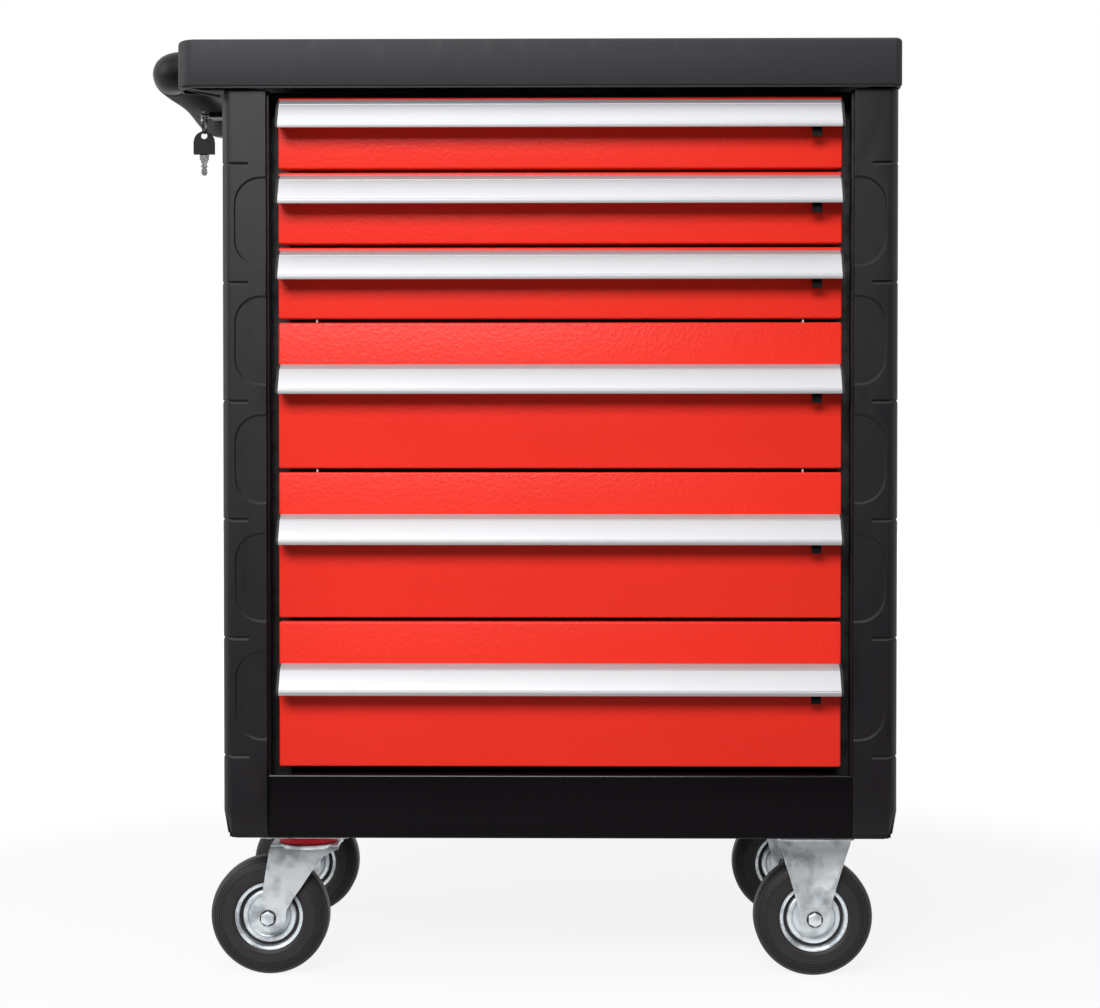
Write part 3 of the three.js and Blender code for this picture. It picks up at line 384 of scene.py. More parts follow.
# %% Zinc, nickel and dark steel for painted shade
def plated(name, cold, warm, roughness, spread, cells, depth, metallic=1):
    """Plated steel that drifts between two tints, with dark patches (partly smudges, partly
    painted reflection) and cloudy gloss.
    """
    finish = Finish(name, Metallic=metallic)
    clouds = finish.noise(cells, detail=4, rough=0.62)
    hue = finish.noise(cells / 3)
    pits = finish.noise(1700)
    # Dark patches that are partly smudges and partly painted dark reflection.
    smudges_and_reflection = finish.noise(cells * 0.6, detail=3, rough=0.55).above(0.56, 0.2) * 0.85
    return finish.set(
        Base_Color=finish.mix(smudges_and_reflection, finish.mix(hue, cold, warm), shade(cold, 0.42)),
        Roughness=clouds * spread + (roughness - spread / 2),
        Normal=finish.bump(pits, depth, under=finish.bump(clouds, depth * 28)),
    )


zinc = plated("zinc", cold=(0.83, 0.91, 0.98, 1), warm=(0.94, 0.955, 0.94, 1), roughness=0.38,
              spread=0.26, cells=70, depth=0.006 * MM, metallic=0.74)
nickel = plated("nickel", cold=(0.27, 0.27, 0.28, 1), warm=(0.34, 0.33, 0.32, 1),
                roughness=0.2, spread=0.12, cells=90, depth=0.003 * MM)
# Dark grey steel as painted shade: it blackens the racks in the recess beside the drawers and
# draws a shadow round each bolt head.
shade_dark_steel = plated("shade_dark_steel", cold=(0.07, 0.073, 0.077, 1), warm=(0.1, 0.1, 0.097, 1),
                    roughness=0.55, spread=0.2, cells=60, depth=0.01 * MM)
print("plated", [metal.name for metal in (zinc, nickel, shade_dark_steel)])

# %% Aluminium
strip_finish = Finish("strip_aluminium", Metallic=0.62)
hair = strip_finish.noise(2600, stretch=(0.004, 1, 1))
haze = strip_finish.noise(12, detail=3)
strip_aluminium = strip_finish.set(
    Base_Color=strip_finish.mix(hair, (0.455, 0.46, 0.474, 1), (0.515, 0.518, 0.533, 1)),
    Roughness=hair * 0.12 + haze * 0.05 + 0.46,
    Normal=strip_finish.bump(hair, 0.008 * MM),
)
print("aluminium nodes", len(strip_finish.nodes))

# %% [markdown]
# ## Finishes for the solids
# The record says which finish each solid wears. The racks and the bar inside the cabinet are
# the exception: they wear a dark grey steel, which is painted shade for the recess beside the
# drawers.

# %% Finishes on the solids
slot_finishes = {
    "worktop_plastic": worktop_plastic, "bumper_plastic": bumper_plastic,
    "black_paint": black_paint, "gloss_black_paint": gloss_black_paint, "red_paint": red_paint,
    "strip_aluminium": strip_aluminium, "black_plastic": black_plastic,
    "grip_rubber": grip_rubber, "red_plastic": brightened_ring_red, "zinc": zinc, "nickel": nickel,
    "tyre_rubber": tyre_rubber,
}
for part in frame["record"]["subparts"]:
    node = frame["nodes"][part["node"]]
    node.data.materials.clear()
    # The racks and the bar in the recess wear the dark steel as painted shade.
    shaded_inside = part["node"].endswith("rack") or part["node"] == "locking_bar"
    node.data.materials.append(shade_dark_steel if shaded_inside else slot_finishes[part["material_slot"]])
print("finishes", len(slot_finishes))

# %% [markdown]
# ## Small modelling helpers
# Every piece is made with the editor's own mesh operators. A few helpers cover most shapes: a
# block with rounded edges, an outline pulled out into a solid, a profile turned on a lathe, and
# a tool that is cut out of a shape. The last helper turns a finished mesh into a piece that
# rides on a body of the frame.

# %% Helpers that measure and move
def mm(points):
    """Points given in millimetres."""
    return [tuple(value * MM for value in point) for point in points]


def verts_of(geometry):
    return [item for item in geometry if isinstance(item, bmesh.types.BMVert)]


def middle_of(verts):
    return sum((vert.co for vert in verts), Vector()) / len(verts)


def centre_of(node):
    return Vector([(low + high) / 2 for low, high in zip(*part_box(node))])


def span(edge, axis):
    """How far an edge reaches along one axis."""
    return abs(getattr(edge.verts[0].co, axis) - getattr(edge.verts[1].co, axis))


def lies_at(edge, axis, value):
    """Tells whether an edge lies in the plane of one value along an axis."""
    return all(abs(getattr(vert.co, axis) - value) < TINY for vert in edge.verts)


def towards(way):
    """The turn that lays the upright axis along a direction."""
    return Z.rotation_difference(way).to_matrix()


def turned(bm, matrix):
    bmesh.ops.rotate(bm, cent=(0, 0, 0), matrix=matrix, verts=bm.verts)
    return bm


def moved(bm, way):
    bmesh.ops.translate(bm, vec=way, verts=bm.verts)
    return bm


def scaled(bm, factors, middle, verts):
    """Scales some of the points about a middle."""
    bmesh.ops.scale(bm, vec=factors, space=Matrix.Translation(-middle), verts=verts)


print("middle of the worktop", [round(value, 3) for value in centre_of("worktop")])


# %% Helpers for shapes
def block(low, high):
    """A block between two corners."""
    low, high = Vector(low), Vector(high)
    bm = bmesh.new()
    bmesh.ops.create_cube(bm, size=1)
    bmesh.ops.scale(bm, vec=high - low, verts=bm.verts)
    return moved(bm, (low + high) / 2)


def round_edges(bm, width, segments, chosen):
    """Bevels the chosen edges round."""
    edges = [edge for edge in bm.edges if chosen(edge)]
    bmesh.ops.bevel(
        bm, geom=edges, offset=width, segments=segments, affect="EDGES", profile=0.5, material=-1,
        clamp_overlap=True,
    )
    return bm


def pull(points, way):
    """The face inside an outline, pulled out along a vector into a solid."""
    bm = bmesh.new()
    face = bm.faces.new([bm.verts.new(point) for point in points])
    pulled = bmesh.ops.extrude_face_region(bm, geom=[face])
    bmesh.ops.translate(bm, vec=way, verts=verts_of(pulled["geom"]))
    bmesh.ops.recalc_face_normals(bm, faces=bm.faces)
    return bm


def lathe(profile, steps, axis, place):
    """A profile of (radius, height) pairs spun a full turn about an axis through a place."""
    bm = bmesh.new()
    verts = [bm.verts.new((radius, 0, height)) for radius, height in profile]
    hollow = profile[0][0] > 0
    ends = zip(verts, verts[1:] + verts[:1]) if hollow else zip(verts, verts[1:])
    edges = [bm.edges.new(pair) for pair in ends]
    bmesh.ops.spin(
        bm, geom=verts + edges, cent=(0, 0, 0), axis=(0, 0, 1), dvec=(0, 0, 0),
        angle=math.tau, steps=steps, use_merge=True,
    )
    bmesh.ops.remove_doubles(bm, verts=bm.verts, dist=0.001 * MM)
    bmesh.ops.recalc_face_normals(bm, faces=bm.faces)
    return moved(turned(bm, towards(axis)), place)


def rod(radius, foot, head, steps, axis, place):
    """A plain cylinder between two heights on an axis through a place."""
    return lathe([(0, foot), (radius, foot), (radius, head), (0, head)], steps, axis, place)


def join(first, *others):
    """Puts the meshes of several bmeshes into the first."""
    for other in others:
        mesh = bpy.data.meshes.new("join")
        other.to_mesh(mesh)
        first.from_mesh(mesh)
        other.free()
        bpy.data.meshes.remove(mesh)
    return first


# %% A cutter and a piece maker
def loose_object(bm, name):
    mesh = bpy.data.meshes.new(name)
    bm.to_mesh(mesh)
    bm.free()
    holder = bpy.data.objects.new(name, mesh)
    bpy.context.scene.collection.objects.link(holder)
    return holder


def combine(bm, tools, operation="DIFFERENCE"):
    """Cuts the tools out of a shape, or adds them to it, with the Boolean modifier."""
    target = loose_object(bm, "target")
    shelf = bpy.data.collections.new("tools")
    holders = [loose_object(tool, "tool") for tool in tools]
    for holder in holders:
        shelf.objects.link(holder)
    step = target.modifiers.new("Cut", "BOOLEAN")
    step.operation, step.solver = operation, "EXACT"
    step.operand_type, step.collection = "COLLECTION", shelf
    bpy.context.view_layer.update()
    depsgraph = bpy.context.evaluated_depsgraph_get()
    result = bpy.data.meshes.new_from_object(target.evaluated_get(depsgraph))
    made = bmesh.new()
    made.from_mesh(result)
    for holder in [target, *holders]:
        mesh = holder.data
        bpy.data.objects.remove(holder)
        bpy.data.meshes.remove(mesh)
    bpy.data.collections.remove(shelf)
    bpy.data.meshes.remove(result)
    bmesh.ops.remove_doubles(made, verts=made.verts, dist=0.002 * MM)
    return made


body_nodes = frame["record"]["behaviour"]["bodies"]
bodies_of = {node: body for body, nodes in body_nodes.items() for node in nodes}
made_pieces = []


def piece(bm, name, node, finish, replaces=True, soften=0, segments=2, angle=35):
    """Makes an object of a mesh, rides it on its node's body and hides the node."""
    open_edges = sum(len(edge.link_faces) != 2 for edge in bm.edges)
    if open_edges:
        print("open edges on", name, open_edges)
    made = loose_object(bm, name)
    made.data.shade_smooth()
    made.data.set_sharp_from_angle(angle=math.radians(angle))
    made.data.materials.append(finish)
    if soften:
        bevel = made.modifiers.new("Soft edges", "BEVEL")
        bevel.width, bevel.segments, bevel.limit_method = soften, segments, "ANGLE"
        bevel.angle_limit = math.radians(angle)
        bevel.harden_normals = True
    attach(made, bodies_of[node])
    if replaces:
        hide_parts(node)
    made_pieces.append(made)
    return made


print("nodes with a body", len(bodies_of))

# %% [markdown]
# ## The corner bumpers
# Each corner wears a moulded plastic bumper, an L in plan with a round outer corner. Six
# grooves step round it, and between them lies a shallow D-shaped field on each face. The L is
# one outline pulled up to the full height. Bisecting it near the foot gives a ring of points
# that can lean inwards for the taper. The grooves and the fields are cut out with tools, which
# keeps their walls crisp, and a fine bevel at the end catches the light. One bumper is made in
# its own corner and mirrored into the other three.

# %% Bumper sizes from the frame
post_low, post_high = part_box("front_left_post")
post_height = post_high.z - post_low.z
post_front, post_side, post_wall, post_corner = 45 * MM, 50 * MM, 8 * MM, 11 * MM
groove_count, groove_top_drop, groove_pitch = 6, 73 * MM, 119.5 * MM
groove_height, groove_wall, groove_depth, groove_reach = 3.6 * MM, 0.8 * MM, 1.9 * MM, 27 * MM
field_margin, field_edge, field_corner, field_depth = 14.5 * MM, 13 * MM, 27 * MM, 1.7 * MM
taper_height, taper_depth, foot_height, foot_step = 28 * MM, 4 * MM, 5 * MM, 1.6 * MM
print("bumper height", round(post_height, 4))


# %% A D-shaped field tool
def field_tool(width, height):
    """A D with its round side to the corner and walls that lean out, face down on y = 0."""
    bm = bmesh.new()
    bmesh.ops.create_grid(bm, x_segments=1, y_segments=1, size=0.5)
    length = width - field_edge + post_wall
    bmesh.ops.scale(bm, vec=(length, height, 1), verts=bm.verts)
    moved(bm, (field_edge + length / 2, height / 2, 0))
    corners = [vert for vert in bm.verts if vert.co.x < field_edge + MM]
    bmesh.ops.bevel(
        bm, geom=corners, offset=field_corner, segments=10, affect="VERTICES", profile=0.5,
        material=-1,
    )
    turned(bm, QUARTER_X)
    inner = verts_of(bmesh.ops.extrude_face_region(bm, geom=bm.faces[:])["geom"])
    lean = 1 - field_depth / (height / 2)
    scaled(bm, (lean, 1, lean), Vector((width, 0, height / 2)), inner)
    outer = [vert for vert in bm.verts if vert not in inner]
    bmesh.ops.translate(bm, vec=Y * field_depth, verts=inner)
    bmesh.ops.translate(bm, vec=-Y * TINY, verts=outer)
    bmesh.ops.recalc_face_normals(bm, faces=bm.faces)
    return bm


def onto_front(bm):
    return bm


def onto_side(bm):
    """Swaps a tool made for the front face onto the side face of the corner."""
    for vert in bm.verts:
        vert.co.x, vert.co.y = vert.co.y, vert.co.x
    bmesh.ops.reverse_faces(bm, faces=bm.faces)
    return bm


# %% One bumper in its own corner
def plain_bumper():
    """The L with its taper: corner at the origin, faces along +X and +Y, foot on z = 0."""
    plan = [
        (post_front, 0, 0), (0, 0, 0), (0, post_side, 0), (post_wall, post_side, 0),
        (post_wall, post_wall, 0), (post_front, post_wall, 0),
    ]
    bm = pull(plan, Z * post_height)
    round_edges(bm, post_corner, 6, lambda edge: lies_at(edge, "x", 0) and lies_at(edge, "y", 0))
    for height in (taper_height, foot_height, foot_height - MM):
        bmesh.ops.bisect_plane(
            bm, geom=bm.verts[:] + bm.edges[:] + bm.faces[:], plane_co=(0, 0, height),
            plane_no=(0, 0, 1),
        )
    for vert in bm.verts:
        if vert.co.z < taper_height - TINY:
            share = min((taper_height - vert.co.z) / (taper_height - foot_height), 1)
            lean = taper_depth * share
            lean += foot_step if vert.co.z < foot_height - TINY else 0
            for axis in (0, 1):
                if vert.co[axis] < post_wall - MM:
                    vert.co[axis] += lean
    return bm


def bumper(mirror_x, mirror_y, outer_x, outer_y):
    """The L with its grooves and fields, mirrored and moved to one corner of the cart."""
    bm = plain_bumper()
    for width, turn_over in ((post_front, onto_front), (post_side, onto_side)):
        tools = []
        for index in range(groove_count):
            height = post_height - groove_top_drop - index * groove_pitch
            notch = [
                (-MM, height), (groove_depth, height), (groove_depth, height - groove_wall),
                (0, height - groove_height), (-MM, height - groove_height),
            ]
            tools.append(turn_over(pull([(-MM, y, z) for y, z in notch], X * (groove_reach + MM))))
            if index < groove_count - 1:
                field = turn_over(field_tool(width, groove_pitch - 2 * field_margin))
                tools.append(moved(field, Z * (height - groove_pitch + field_margin)))
        bm = combine(bm, [join(*tools)])
    bmesh.ops.scale(bm, vec=(mirror_x, mirror_y, 1), verts=bm.verts)
    bmesh.ops.recalc_face_normals(bm, faces=bm.faces)
    return moved(bm, (outer_x, outer_y, post_low.z))


for end, side in CORNERS:
    node = f"{end}_{side}_post"
    low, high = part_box(node)
    mirror_x, outer_x = (1, low.x) if side == "left" else (-1, high.x)
    mirror_y, outer_y = (1, low.y) if end == "front" else (-1, high.y)
    bm = bumper(mirror_x, mirror_y, outer_x, outer_y)
    post = piece(bm, node + "_bumper", node, bumper_plastic, soften=0.4 * MM, angle=20)
print("bumper faces", len(post.data.polygons))

# %% [markdown]
# ## The worktop
# The lid is one thick moulding: a rounded skirt, a thin lip under it, a tool tray and four
# pockets sunk into the top, and a bay in the left edge where the hand goes round the push
# handle. The outer body is a plan outline pulled up, with its upright corners and its upper rim
# bevelled round. Everything hollow is a tool with its own round corners, so the walls inside
# have soft corners like a real moulding. Under the wing, a gusset at each end carries it: a
# web, a bead along the web's slanted edge and a rib in front of the bumper.

# %% Worktop sizes from the frame
top_low, top_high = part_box("worktop")
lip_height, lip_inset = 1.7 * MM, 1.2 * MM
skirt_bottom, skirt_wall, skirt_round = top_low.z + lip_height, 4 * MM, 1.2 * MM
left_corner, right_corner, rim_round = 20 * MM, 8 * MM, 4 * MM
rim_width, tray_depth, tray_corner, tray_round = 15 * MM, 13 * MM, 12 * MM, 3 * MM
divider, pocket_count, pocket_width = 4 * MM, 4, 70 * MM
bay_wall_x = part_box("left_side_panel")[0].x - 12.3 * MM
bay_shallow, bay_deep, bay_corner = 34 * MM, 50 * MM, 7 * MM
over = 6 * MM
print("worktop", [round(value, 3) for value in top_high - top_low])


# %% Rounded plans and pockets
def plan_block(x0, x1, y0, y1, z0, z1, left, right, steps=8):
    """A block whose upright corners have one radius on the left and another on the right."""
    bm = block((x0, y0, z0), (x1, y1, z1))
    for x, radius in ((x0, left), (x1, right)):
        round_edges(bm, radius, steps, lambda edge: span(edge, "z") > MM and lies_at(edge, "x", x))
    return bm


def flat_rim(bm, height, width, steps):
    """Rounds the edges that lie at one height."""
    return round_edges(bm, width, steps, lambda edge: lies_at(edge, "z", height))


def lid_block(inset, z0, z1, steps=10):
    """A block with the worktop's own plan, drawn in by an inset."""
    return plan_block(
        top_low.x + inset, top_high.x - inset, top_low.y + inset, top_high.y - inset, z0, z1,
        left_corner, right_corner, steps,
    )


def well(x0, x1, y0, y1, corner):
    """A tool for a tray with round corners and a rounded floor."""
    tray_floor = top_high.z - tray_depth
    bm = plan_block(x0, x1, y0, y1, tray_floor, top_high.z + rim_round, corner, corner, 6)
    return flat_rim(bm, tray_floor, tray_round, 4)


# %% Tools for the hollows of the worktop
bay_slope = (bay_deep - bay_shallow) / (bay_wall_x - top_low.x)
bay_mouth = bay_shallow - bay_slope * over
bay_points = [
    (top_low.x - over, top_low.y + bay_mouth), (bay_wall_x, top_low.y + bay_deep),
    (bay_wall_x, top_high.y - bay_deep), (top_low.x - over, top_high.y - bay_mouth),
]
bay_height = top_high.z - top_low.z + 2 * over
bay = pull([(x, y, top_low.z - over) for x, y in bay_points], Z * bay_height)
round_edges(bay, bay_corner, 5, lambda edge: lies_at(edge, "x", bay_wall_x)
            and span(edge, "z") > MM)

well_left, well_right = bay_wall_x + rim_width, top_high.x - rim_width
well_front, well_back = top_low.y + rim_width, top_high.y - rim_width
pocket_right = well_left + pocket_width
pocket_length = (well_back - well_front - (pocket_count - 1) * divider) / pocket_count
wells = [well(pocket_right + divider, well_right, well_front, well_back, tray_corner)]
for index in range(pocket_count):
    start = well_front + index * (pocket_length + divider)
    wells.append(well(well_left, pocket_right, start, start + pocket_length, tray_corner / 2))

bay_liner = pull([(x + skirt_wall, y, top_low.z - 2 * over) for x, y in bay_points], Z * 0.1)
hollow = combine(
    lid_block(skirt_wall, top_low.z - over, top_high.z - tray_depth - skirt_wall, steps=8),
    [bay_liner],
)
print("wells", len(wells))

# %% Gussets under the wing
gusset_end, rib_left, rib_right = (post_low.x + offset * MM for offset in (-0.3, -40.3, 3.7))
gusset_top, gusset_tip = skirt_bottom + 0.5 * MM, top_low.z + 0.4 * MM
slant = [(gusset_end, top_low.z - 7 * MM), (top_low.x + 4 * MM, gusset_tip)]
web = [(x, gusset_top) for x, z in reversed(slant)] + slant
bead = [(x, z + 1.3 * MM) for x, z in reversed(slant)] + slant
rib = [(rib_left, gusset_top), (rib_right, gusset_top), (rib_right, top_low.z - 11 * MM),
       (rib_left, gusset_tip)]
front_setback = post_low.y - top_low.y
rear_setback = top_high.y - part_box("rear_left_post")[1].y
gussets = []
for edge_y, sign, setback in ((top_low.y, 1, front_setback), (top_high.y, -1, rear_setback)):
    for outline, start, thickness in (
        (rib, setback - 2.5 * MM, 2 * MM), (web, 6 * MM, 2.5 * MM), (bead, MM, 6 * MM),
    ):
        points = [(x, edge_y + sign * start, z) for x, z in outline]
        gussets.append(pull(points, Y * sign * thickness))
print("gusset pieces", len(gussets))

# %% The worktop moulding
bm = lid_block(0, skirt_bottom, top_high.z)
flat_rim(bm, top_high.z, rim_round, 6)
flat_rim(bm, skirt_bottom, skirt_round, 3)
bm = combine(bm, [lid_block(lip_inset, top_low.z, skirt_bottom + rim_round)], "UNION")
bm = combine(bm, [bay, hollow, *wells])
join(bm, *gussets)
worktop = piece(bm, "worktop_moulding", "worktop", worktop_plastic, soften=0.9 * MM, segments=3)
print("worktop faces", len(worktop.data.polygons))

# %% [markdown]
# ## Kick panel
# A folded steel plate closes the front below the drawers. Its top edge is bent back over a
# small radius, and that bend draws the one thin bright line on the glossy black. The bend comes
# from an L outline pulled along the panel, with its outer edge bevelled round.

# %% Kick panel
sheet, kick_bend = 1.2 * MM, 2.2 * MM
kick_low, kick_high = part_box("kick_panel")
fold = pull([
    (kick_low.x, y, z) for y, z in (
        (kick_low.y, kick_low.z), (kick_low.y, kick_high.z), (kick_high.y, kick_high.z),
        (kick_high.y, kick_high.z - sheet), (kick_low.y + sheet, kick_high.z - sheet),
        (kick_low.y + sheet, kick_low.z),
    )
], X * (kick_high.x - kick_low.x))
round_edges(fold, kick_bend, 5, lambda edge: lies_at(edge, "y", kick_low.y)
            and lies_at(edge, "z", kick_high.z))
piece(fold, "kick_panel_fold", "kick_panel", gloss_black_paint, soften=0.3 * MM)
print("kick panel", round(kick_high.z - kick_low.z, 4))

# %% [markdown]
# ## Panels, racks and fasteners
# The side, back and base panels, the top frame and the runner racks are plain sheet work, so
# the measured solids are right as they are. Their edges are as sharp as a razor, though, and
# real sheet catches light on its edges. Each solid's loose triangles are copied, merged and
# cleaned into whole faces, and a fine bevel rounds them. Pan-head screws hold the back, each
# turned on a lathe with a cross cut into it.

# %% Sheet solids with soft edges
def soft_copy(node, width):
    """A merged copy of a solid, which takes its place with rounded edges."""
    bm = bmesh.new()
    bm.from_mesh(frame["nodes"][node].data)
    bmesh.ops.remove_doubles(bm, verts=bm.verts, dist=0.001 * MM)
    bmesh.ops.dissolve_limit(bm, angle_limit=math.radians(0.5), verts=bm.verts, edges=bm.edges)
    finish = frame["nodes"][node].data.materials[0]
    return piece(bm, node + "_sheet", node, finish, soften=width, angle=25)


panels = ("left_side_panel", "right_side_panel", "back_panel", "base_panel", "top_frame")
thin_sheets = ("left_runner_rack", "right_runner_rack", "locking_bar")
for nodes, width in ((panels, 0.45 * MM), (thin_sheets, 0.25 * MM)):
    for node in nodes:
        soft_copy(node, width)
print("sheets with soft edges", len(panels) + len(thin_sheets))

# %% Screws in the back panel
screw_margin_x, screw_margin_z, screw_rows = 62 * MM, 50 * MM, 5
screw_head = mm([(0, -0.3), (4.2, -0.3), (4.2, 0.5), (3.7, 1.6), (2.4, 2.3), (0, 2.5)])
cross_arms = mm([(1.9, 0.45), (0.45, 1.9)])


def screw(place):
    """A pan head with a cross recess, which points backwards from its seat at a place."""
    cross = [block((-x, -y, 1.1 * MM), (x, y, 4 * MM)) for x, y in cross_arms]
    bm = combine(lathe(screw_head, 24, Z, Vector()), cross)
    return moved(turned(bm, towards(Y)), place)


back_low, back_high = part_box("back_panel")
screw_pitch = (back_high.z - back_low.z - 2 * screw_margin_z) / (screw_rows - 1)
screws = bmesh.new()
for x in (back_low.x + screw_margin_x, back_high.x - screw_margin_x):
    for row in range(screw_rows):
        height = back_low.z + screw_margin_z + row * screw_pitch
        join(screws, screw(Vector((x, back_high.y, height))))
piece(screws, "back_panel_screws", "back_panel", zinc, replaces=False,
      soften=0.15 * MM)
print("screws", 2 * screw_rows)

# %% [markdown]
# ## Drawers
# A drawer is folded from sheet steel: a front pan whose four edges turn back, and a tray behind
# it with a narrow rim folded inwards. Both start as a block with one face taken away. The front
# keeps its round edges, the tray's rim is an extrusion of its open edge, and Solidify gives
# both the thickness of the sheet at the end. The slides are bright zinc channels on the tray's
# sides.

# %% Front pan and tray
front_depth, front_round, tray_bend, rim_fold = 17 * MM, 2 * MM, 3 * MM, 7 * MM
body_drop, body_rise = 12 * MM, 5 * MM


def open_shell(bm, way):
    """Takes away the faces that look one way."""
    gone = [face for face in bm.faces if face.normal.dot(way) > 0.9]
    bmesh.ops.delete(bm, geom=gone, context="FACES")
    bmesh.ops.recalc_face_normals(bm, faces=bm.faces)


def thick_sheet(bm):
    bmesh.ops.solidify(bm, geom=bm.faces[:], thickness=sheet)
    return bm


def front_pan(low, high):
    back = low.y + front_depth
    bm = block(low, (high.x, back, high.z))
    round_edges(bm, front_round, 4, lambda edge: not lies_at(edge, "y", back))
    open_shell(bm, Y)
    return thick_sheet(bm)


def tray(low, high):
    bm = block(low, high)
    round_edges(bm, tray_bend, 3, lambda edge: not lies_at(edge, "z", high.z))
    open_shell(bm, Z)
    rim = [edge for edge in bm.edges if edge.is_boundary]
    folded = verts_of(bmesh.ops.extrude_edge_only(bm, edges=rim)["geom"])
    fold_x, fold_y = (1 - 2 * rim_fold / length for length in (high - low).xy)
    scaled(bm, (fold_x, fold_y, 1), (low + high) / 2, folded)
    bmesh.ops.recalc_face_normals(bm, faces=bm.faces)
    return thick_sheet(bm)


print("drawer sheet", sheet)

# %% Rails and latches
rail_width, rail_height, rail_inset, rail_rise = 11.5 * MM, 20 * MM, 20 * MM, 15 * MM
rail_front_gap, rail_back_gap, rail_round, rail_lip, rail_hollow = mm([(4, 6, 2, 3, 6)])[0]
plate_height, latch_wall, finger_half = 13 * MM, 3 * MM, 5 * MM
rib_half, rib_proud, rib_foot = 0.6 * MM, 0.4 * MM, 1.5 * MM


def drawer_rails(low, high):
    """A channel on each side of a tray, with its open side outwards."""
    middle = low.z + rail_rise
    rails = bmesh.new()
    for sign, side in ((-1, low.x), (1, high.x)):
        x0, x1 = sorted((side, side + sign * rail_width))
        rail = block((x0, low.y + rail_front_gap, middle - rail_height / 2),
                     (x1, high.y - rail_back_gap, middle + rail_height / 2))
        round_edges(rail, rail_round, 2, lambda edge: span(edge, "y") > MM)
        outer = [face for face in rail.faces if face.normal.x * sign > 0.9]
        bmesh.ops.inset_region(rail, faces=outer, thickness=rail_lip, depth=-rail_hollow)
        join(rails, rail)
    return rails


def latch(low, high):
    """A plate behind the front, an arm under it and a ribbed finger at the arm's end."""
    foot, middle = high.z - plate_height, (low.x + high.x) / 2
    left, right, head = middle - finger_half, middle + finger_half, foot + latch_wall
    plate = block((low.x, high.y - latch_wall, foot), high)
    arm = block((left, low.y, foot), (right, high.y - MM, head))
    finger = block((left, low.y, low.z), (right, low.y + latch_wall, head))
    rib = block((middle - rib_half, low.y, low.z + rib_foot),
                (middle + rib_half, low.y + latch_wall + rib_proud, foot))
    return join(plate, arm, finger, rib)


print("latch finger", 2 * finger_half)

# %% [markdown]
# ## Pull strips
# The strips are one aluminium extrusion: a flat land on top, a bevel band, a long face that
# leans out towards its foot, and a thin lip. A fine groove, left by the die, parts the face
# from the band and the lip. A round outline pulled along the drawer makes it. A dark plastic
# cap closes each end. Under each strip, near the right, hangs the black tab of the drawer's
# latch.

# %% Strip section
cap_width, strip_round, cap_round = 2.6 * MM, 0.2 * MM, 0.5 * MM
strip_section = mm([
    (0.3, 0), (3.5, 0), (12, 5), (12.2, 5.34), (12.08, 6), (12.72, 6.2), (18.7, 15.9),
    (24.17, 25.13), (24.05, 25.79), (24.69, 25.99), (25, 26.5), (25, 30.5), (22.8, 30.5),
    (22.6, 27.4), (16.4, 17), (9.7, 7.3), (2.8, 3), (2.8, 24), (0.3, 24),
])
cap_section = mm([
    (0.3, 0), (3.5, 0), (12, 5), (18.9, 15.8), (25, 26.5), (25, 30.5), (22.6, 30.5), (0.3, 24),
])
bend_angle = math.radians(12)


def strip_part(points, x0, x1, plane, top, edge_width):
    """A piece of the extrusion between two ends, from points given out of the front and down."""
    bm = pull([(x0, plane - out, top - down) for out, down in points], X * (x1 - x0))
    return round_edges(bm, edge_width, 2, lambda edge: span(edge, "x") > MM
                       and edge.calc_face_angle(0) > bend_angle)


print("points of the strip's section", len(strip_section))

# %% Six drawers with their strips and latches
for number in range(1, 7):
    node, strip_node, tab_node = (
        name + str(number) for name in ("drawer_", "handle_strip_", "latch_tab_")
    )
    low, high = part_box(node)
    tray_low = Vector((low.x + rail_inset, low.y + front_depth - sheet, low.z + body_rise))
    tray_high = Vector((high.x - rail_inset, high.y, high.z - body_drop))
    folded = join(front_pan(low, high), tray(tray_low, tray_high))
    piece(folded, node + "_sheet", node, red_paint, soften=0.2 * MM, angle=50)
    piece(drawer_rails(tray_low, tray_high), node + "_rails", node, zinc, replaces=False,
          soften=0.3 * MM)

    strip_low, strip_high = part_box(strip_node)
    plane, top = low.y, strip_high.z
    left, right = strip_low.x + cap_width, strip_high.x - cap_width
    face = strip_part(strip_section, left, right, plane, top, strip_round)
    piece(face, f"pull_strip_{number}", strip_node, strip_aluminium, soften=0.12 * MM)
    caps = bmesh.new()
    for x0, x1 in ((strip_low.x, left), (right, strip_high.x)):
        join(caps, strip_part(cap_section, x0, x1, plane, top, cap_round))
    piece(caps, f"strip_caps_{number}", strip_node, cap_plastic, replaces=False,
          soften=0.4 * MM)
    piece(latch(*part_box(tab_node)), f"latch_{number}", tab_node, black_plastic,
          soften=0.6 * MM)
print("drawers dressed")

# %% [markdown]
# ## Bump pads
# Two small white nylon pads sit on top of the first and second high drawers' fronts. They keep
# the sheet edges apart when a full drawer sags, and show as bright ticks in the dark gaps.

# %% Nylon pads
pad_reach, pad_setback, pad_sink = 246 * MM, 1.5 * MM, 0.3 * MM
pad_size = Vector((1.8 * MM, 9 * MM, 3.2 * MM))
cabinet_x = (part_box("left_side_panel")[0].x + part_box("right_side_panel")[1].x) / 2
for number in (4, 5):
    low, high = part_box(f"drawer_{number}")
    pads = bmesh.new()
    for sign in (-1, 1):
        x = cabinet_x + sign * pad_reach - pad_size.x / 2
        corner = Vector((x, low.y + pad_setback, high.z - pad_sink))
        join(pads, block(corner, corner + pad_size))
    piece(pads, f"bump_pads_{number}", f"drawer_{number}", nylon, replaces=False,
          soften=0.6 * MM, segments=3)
print("middle of the cabinet", round(cabinet_x, 4))

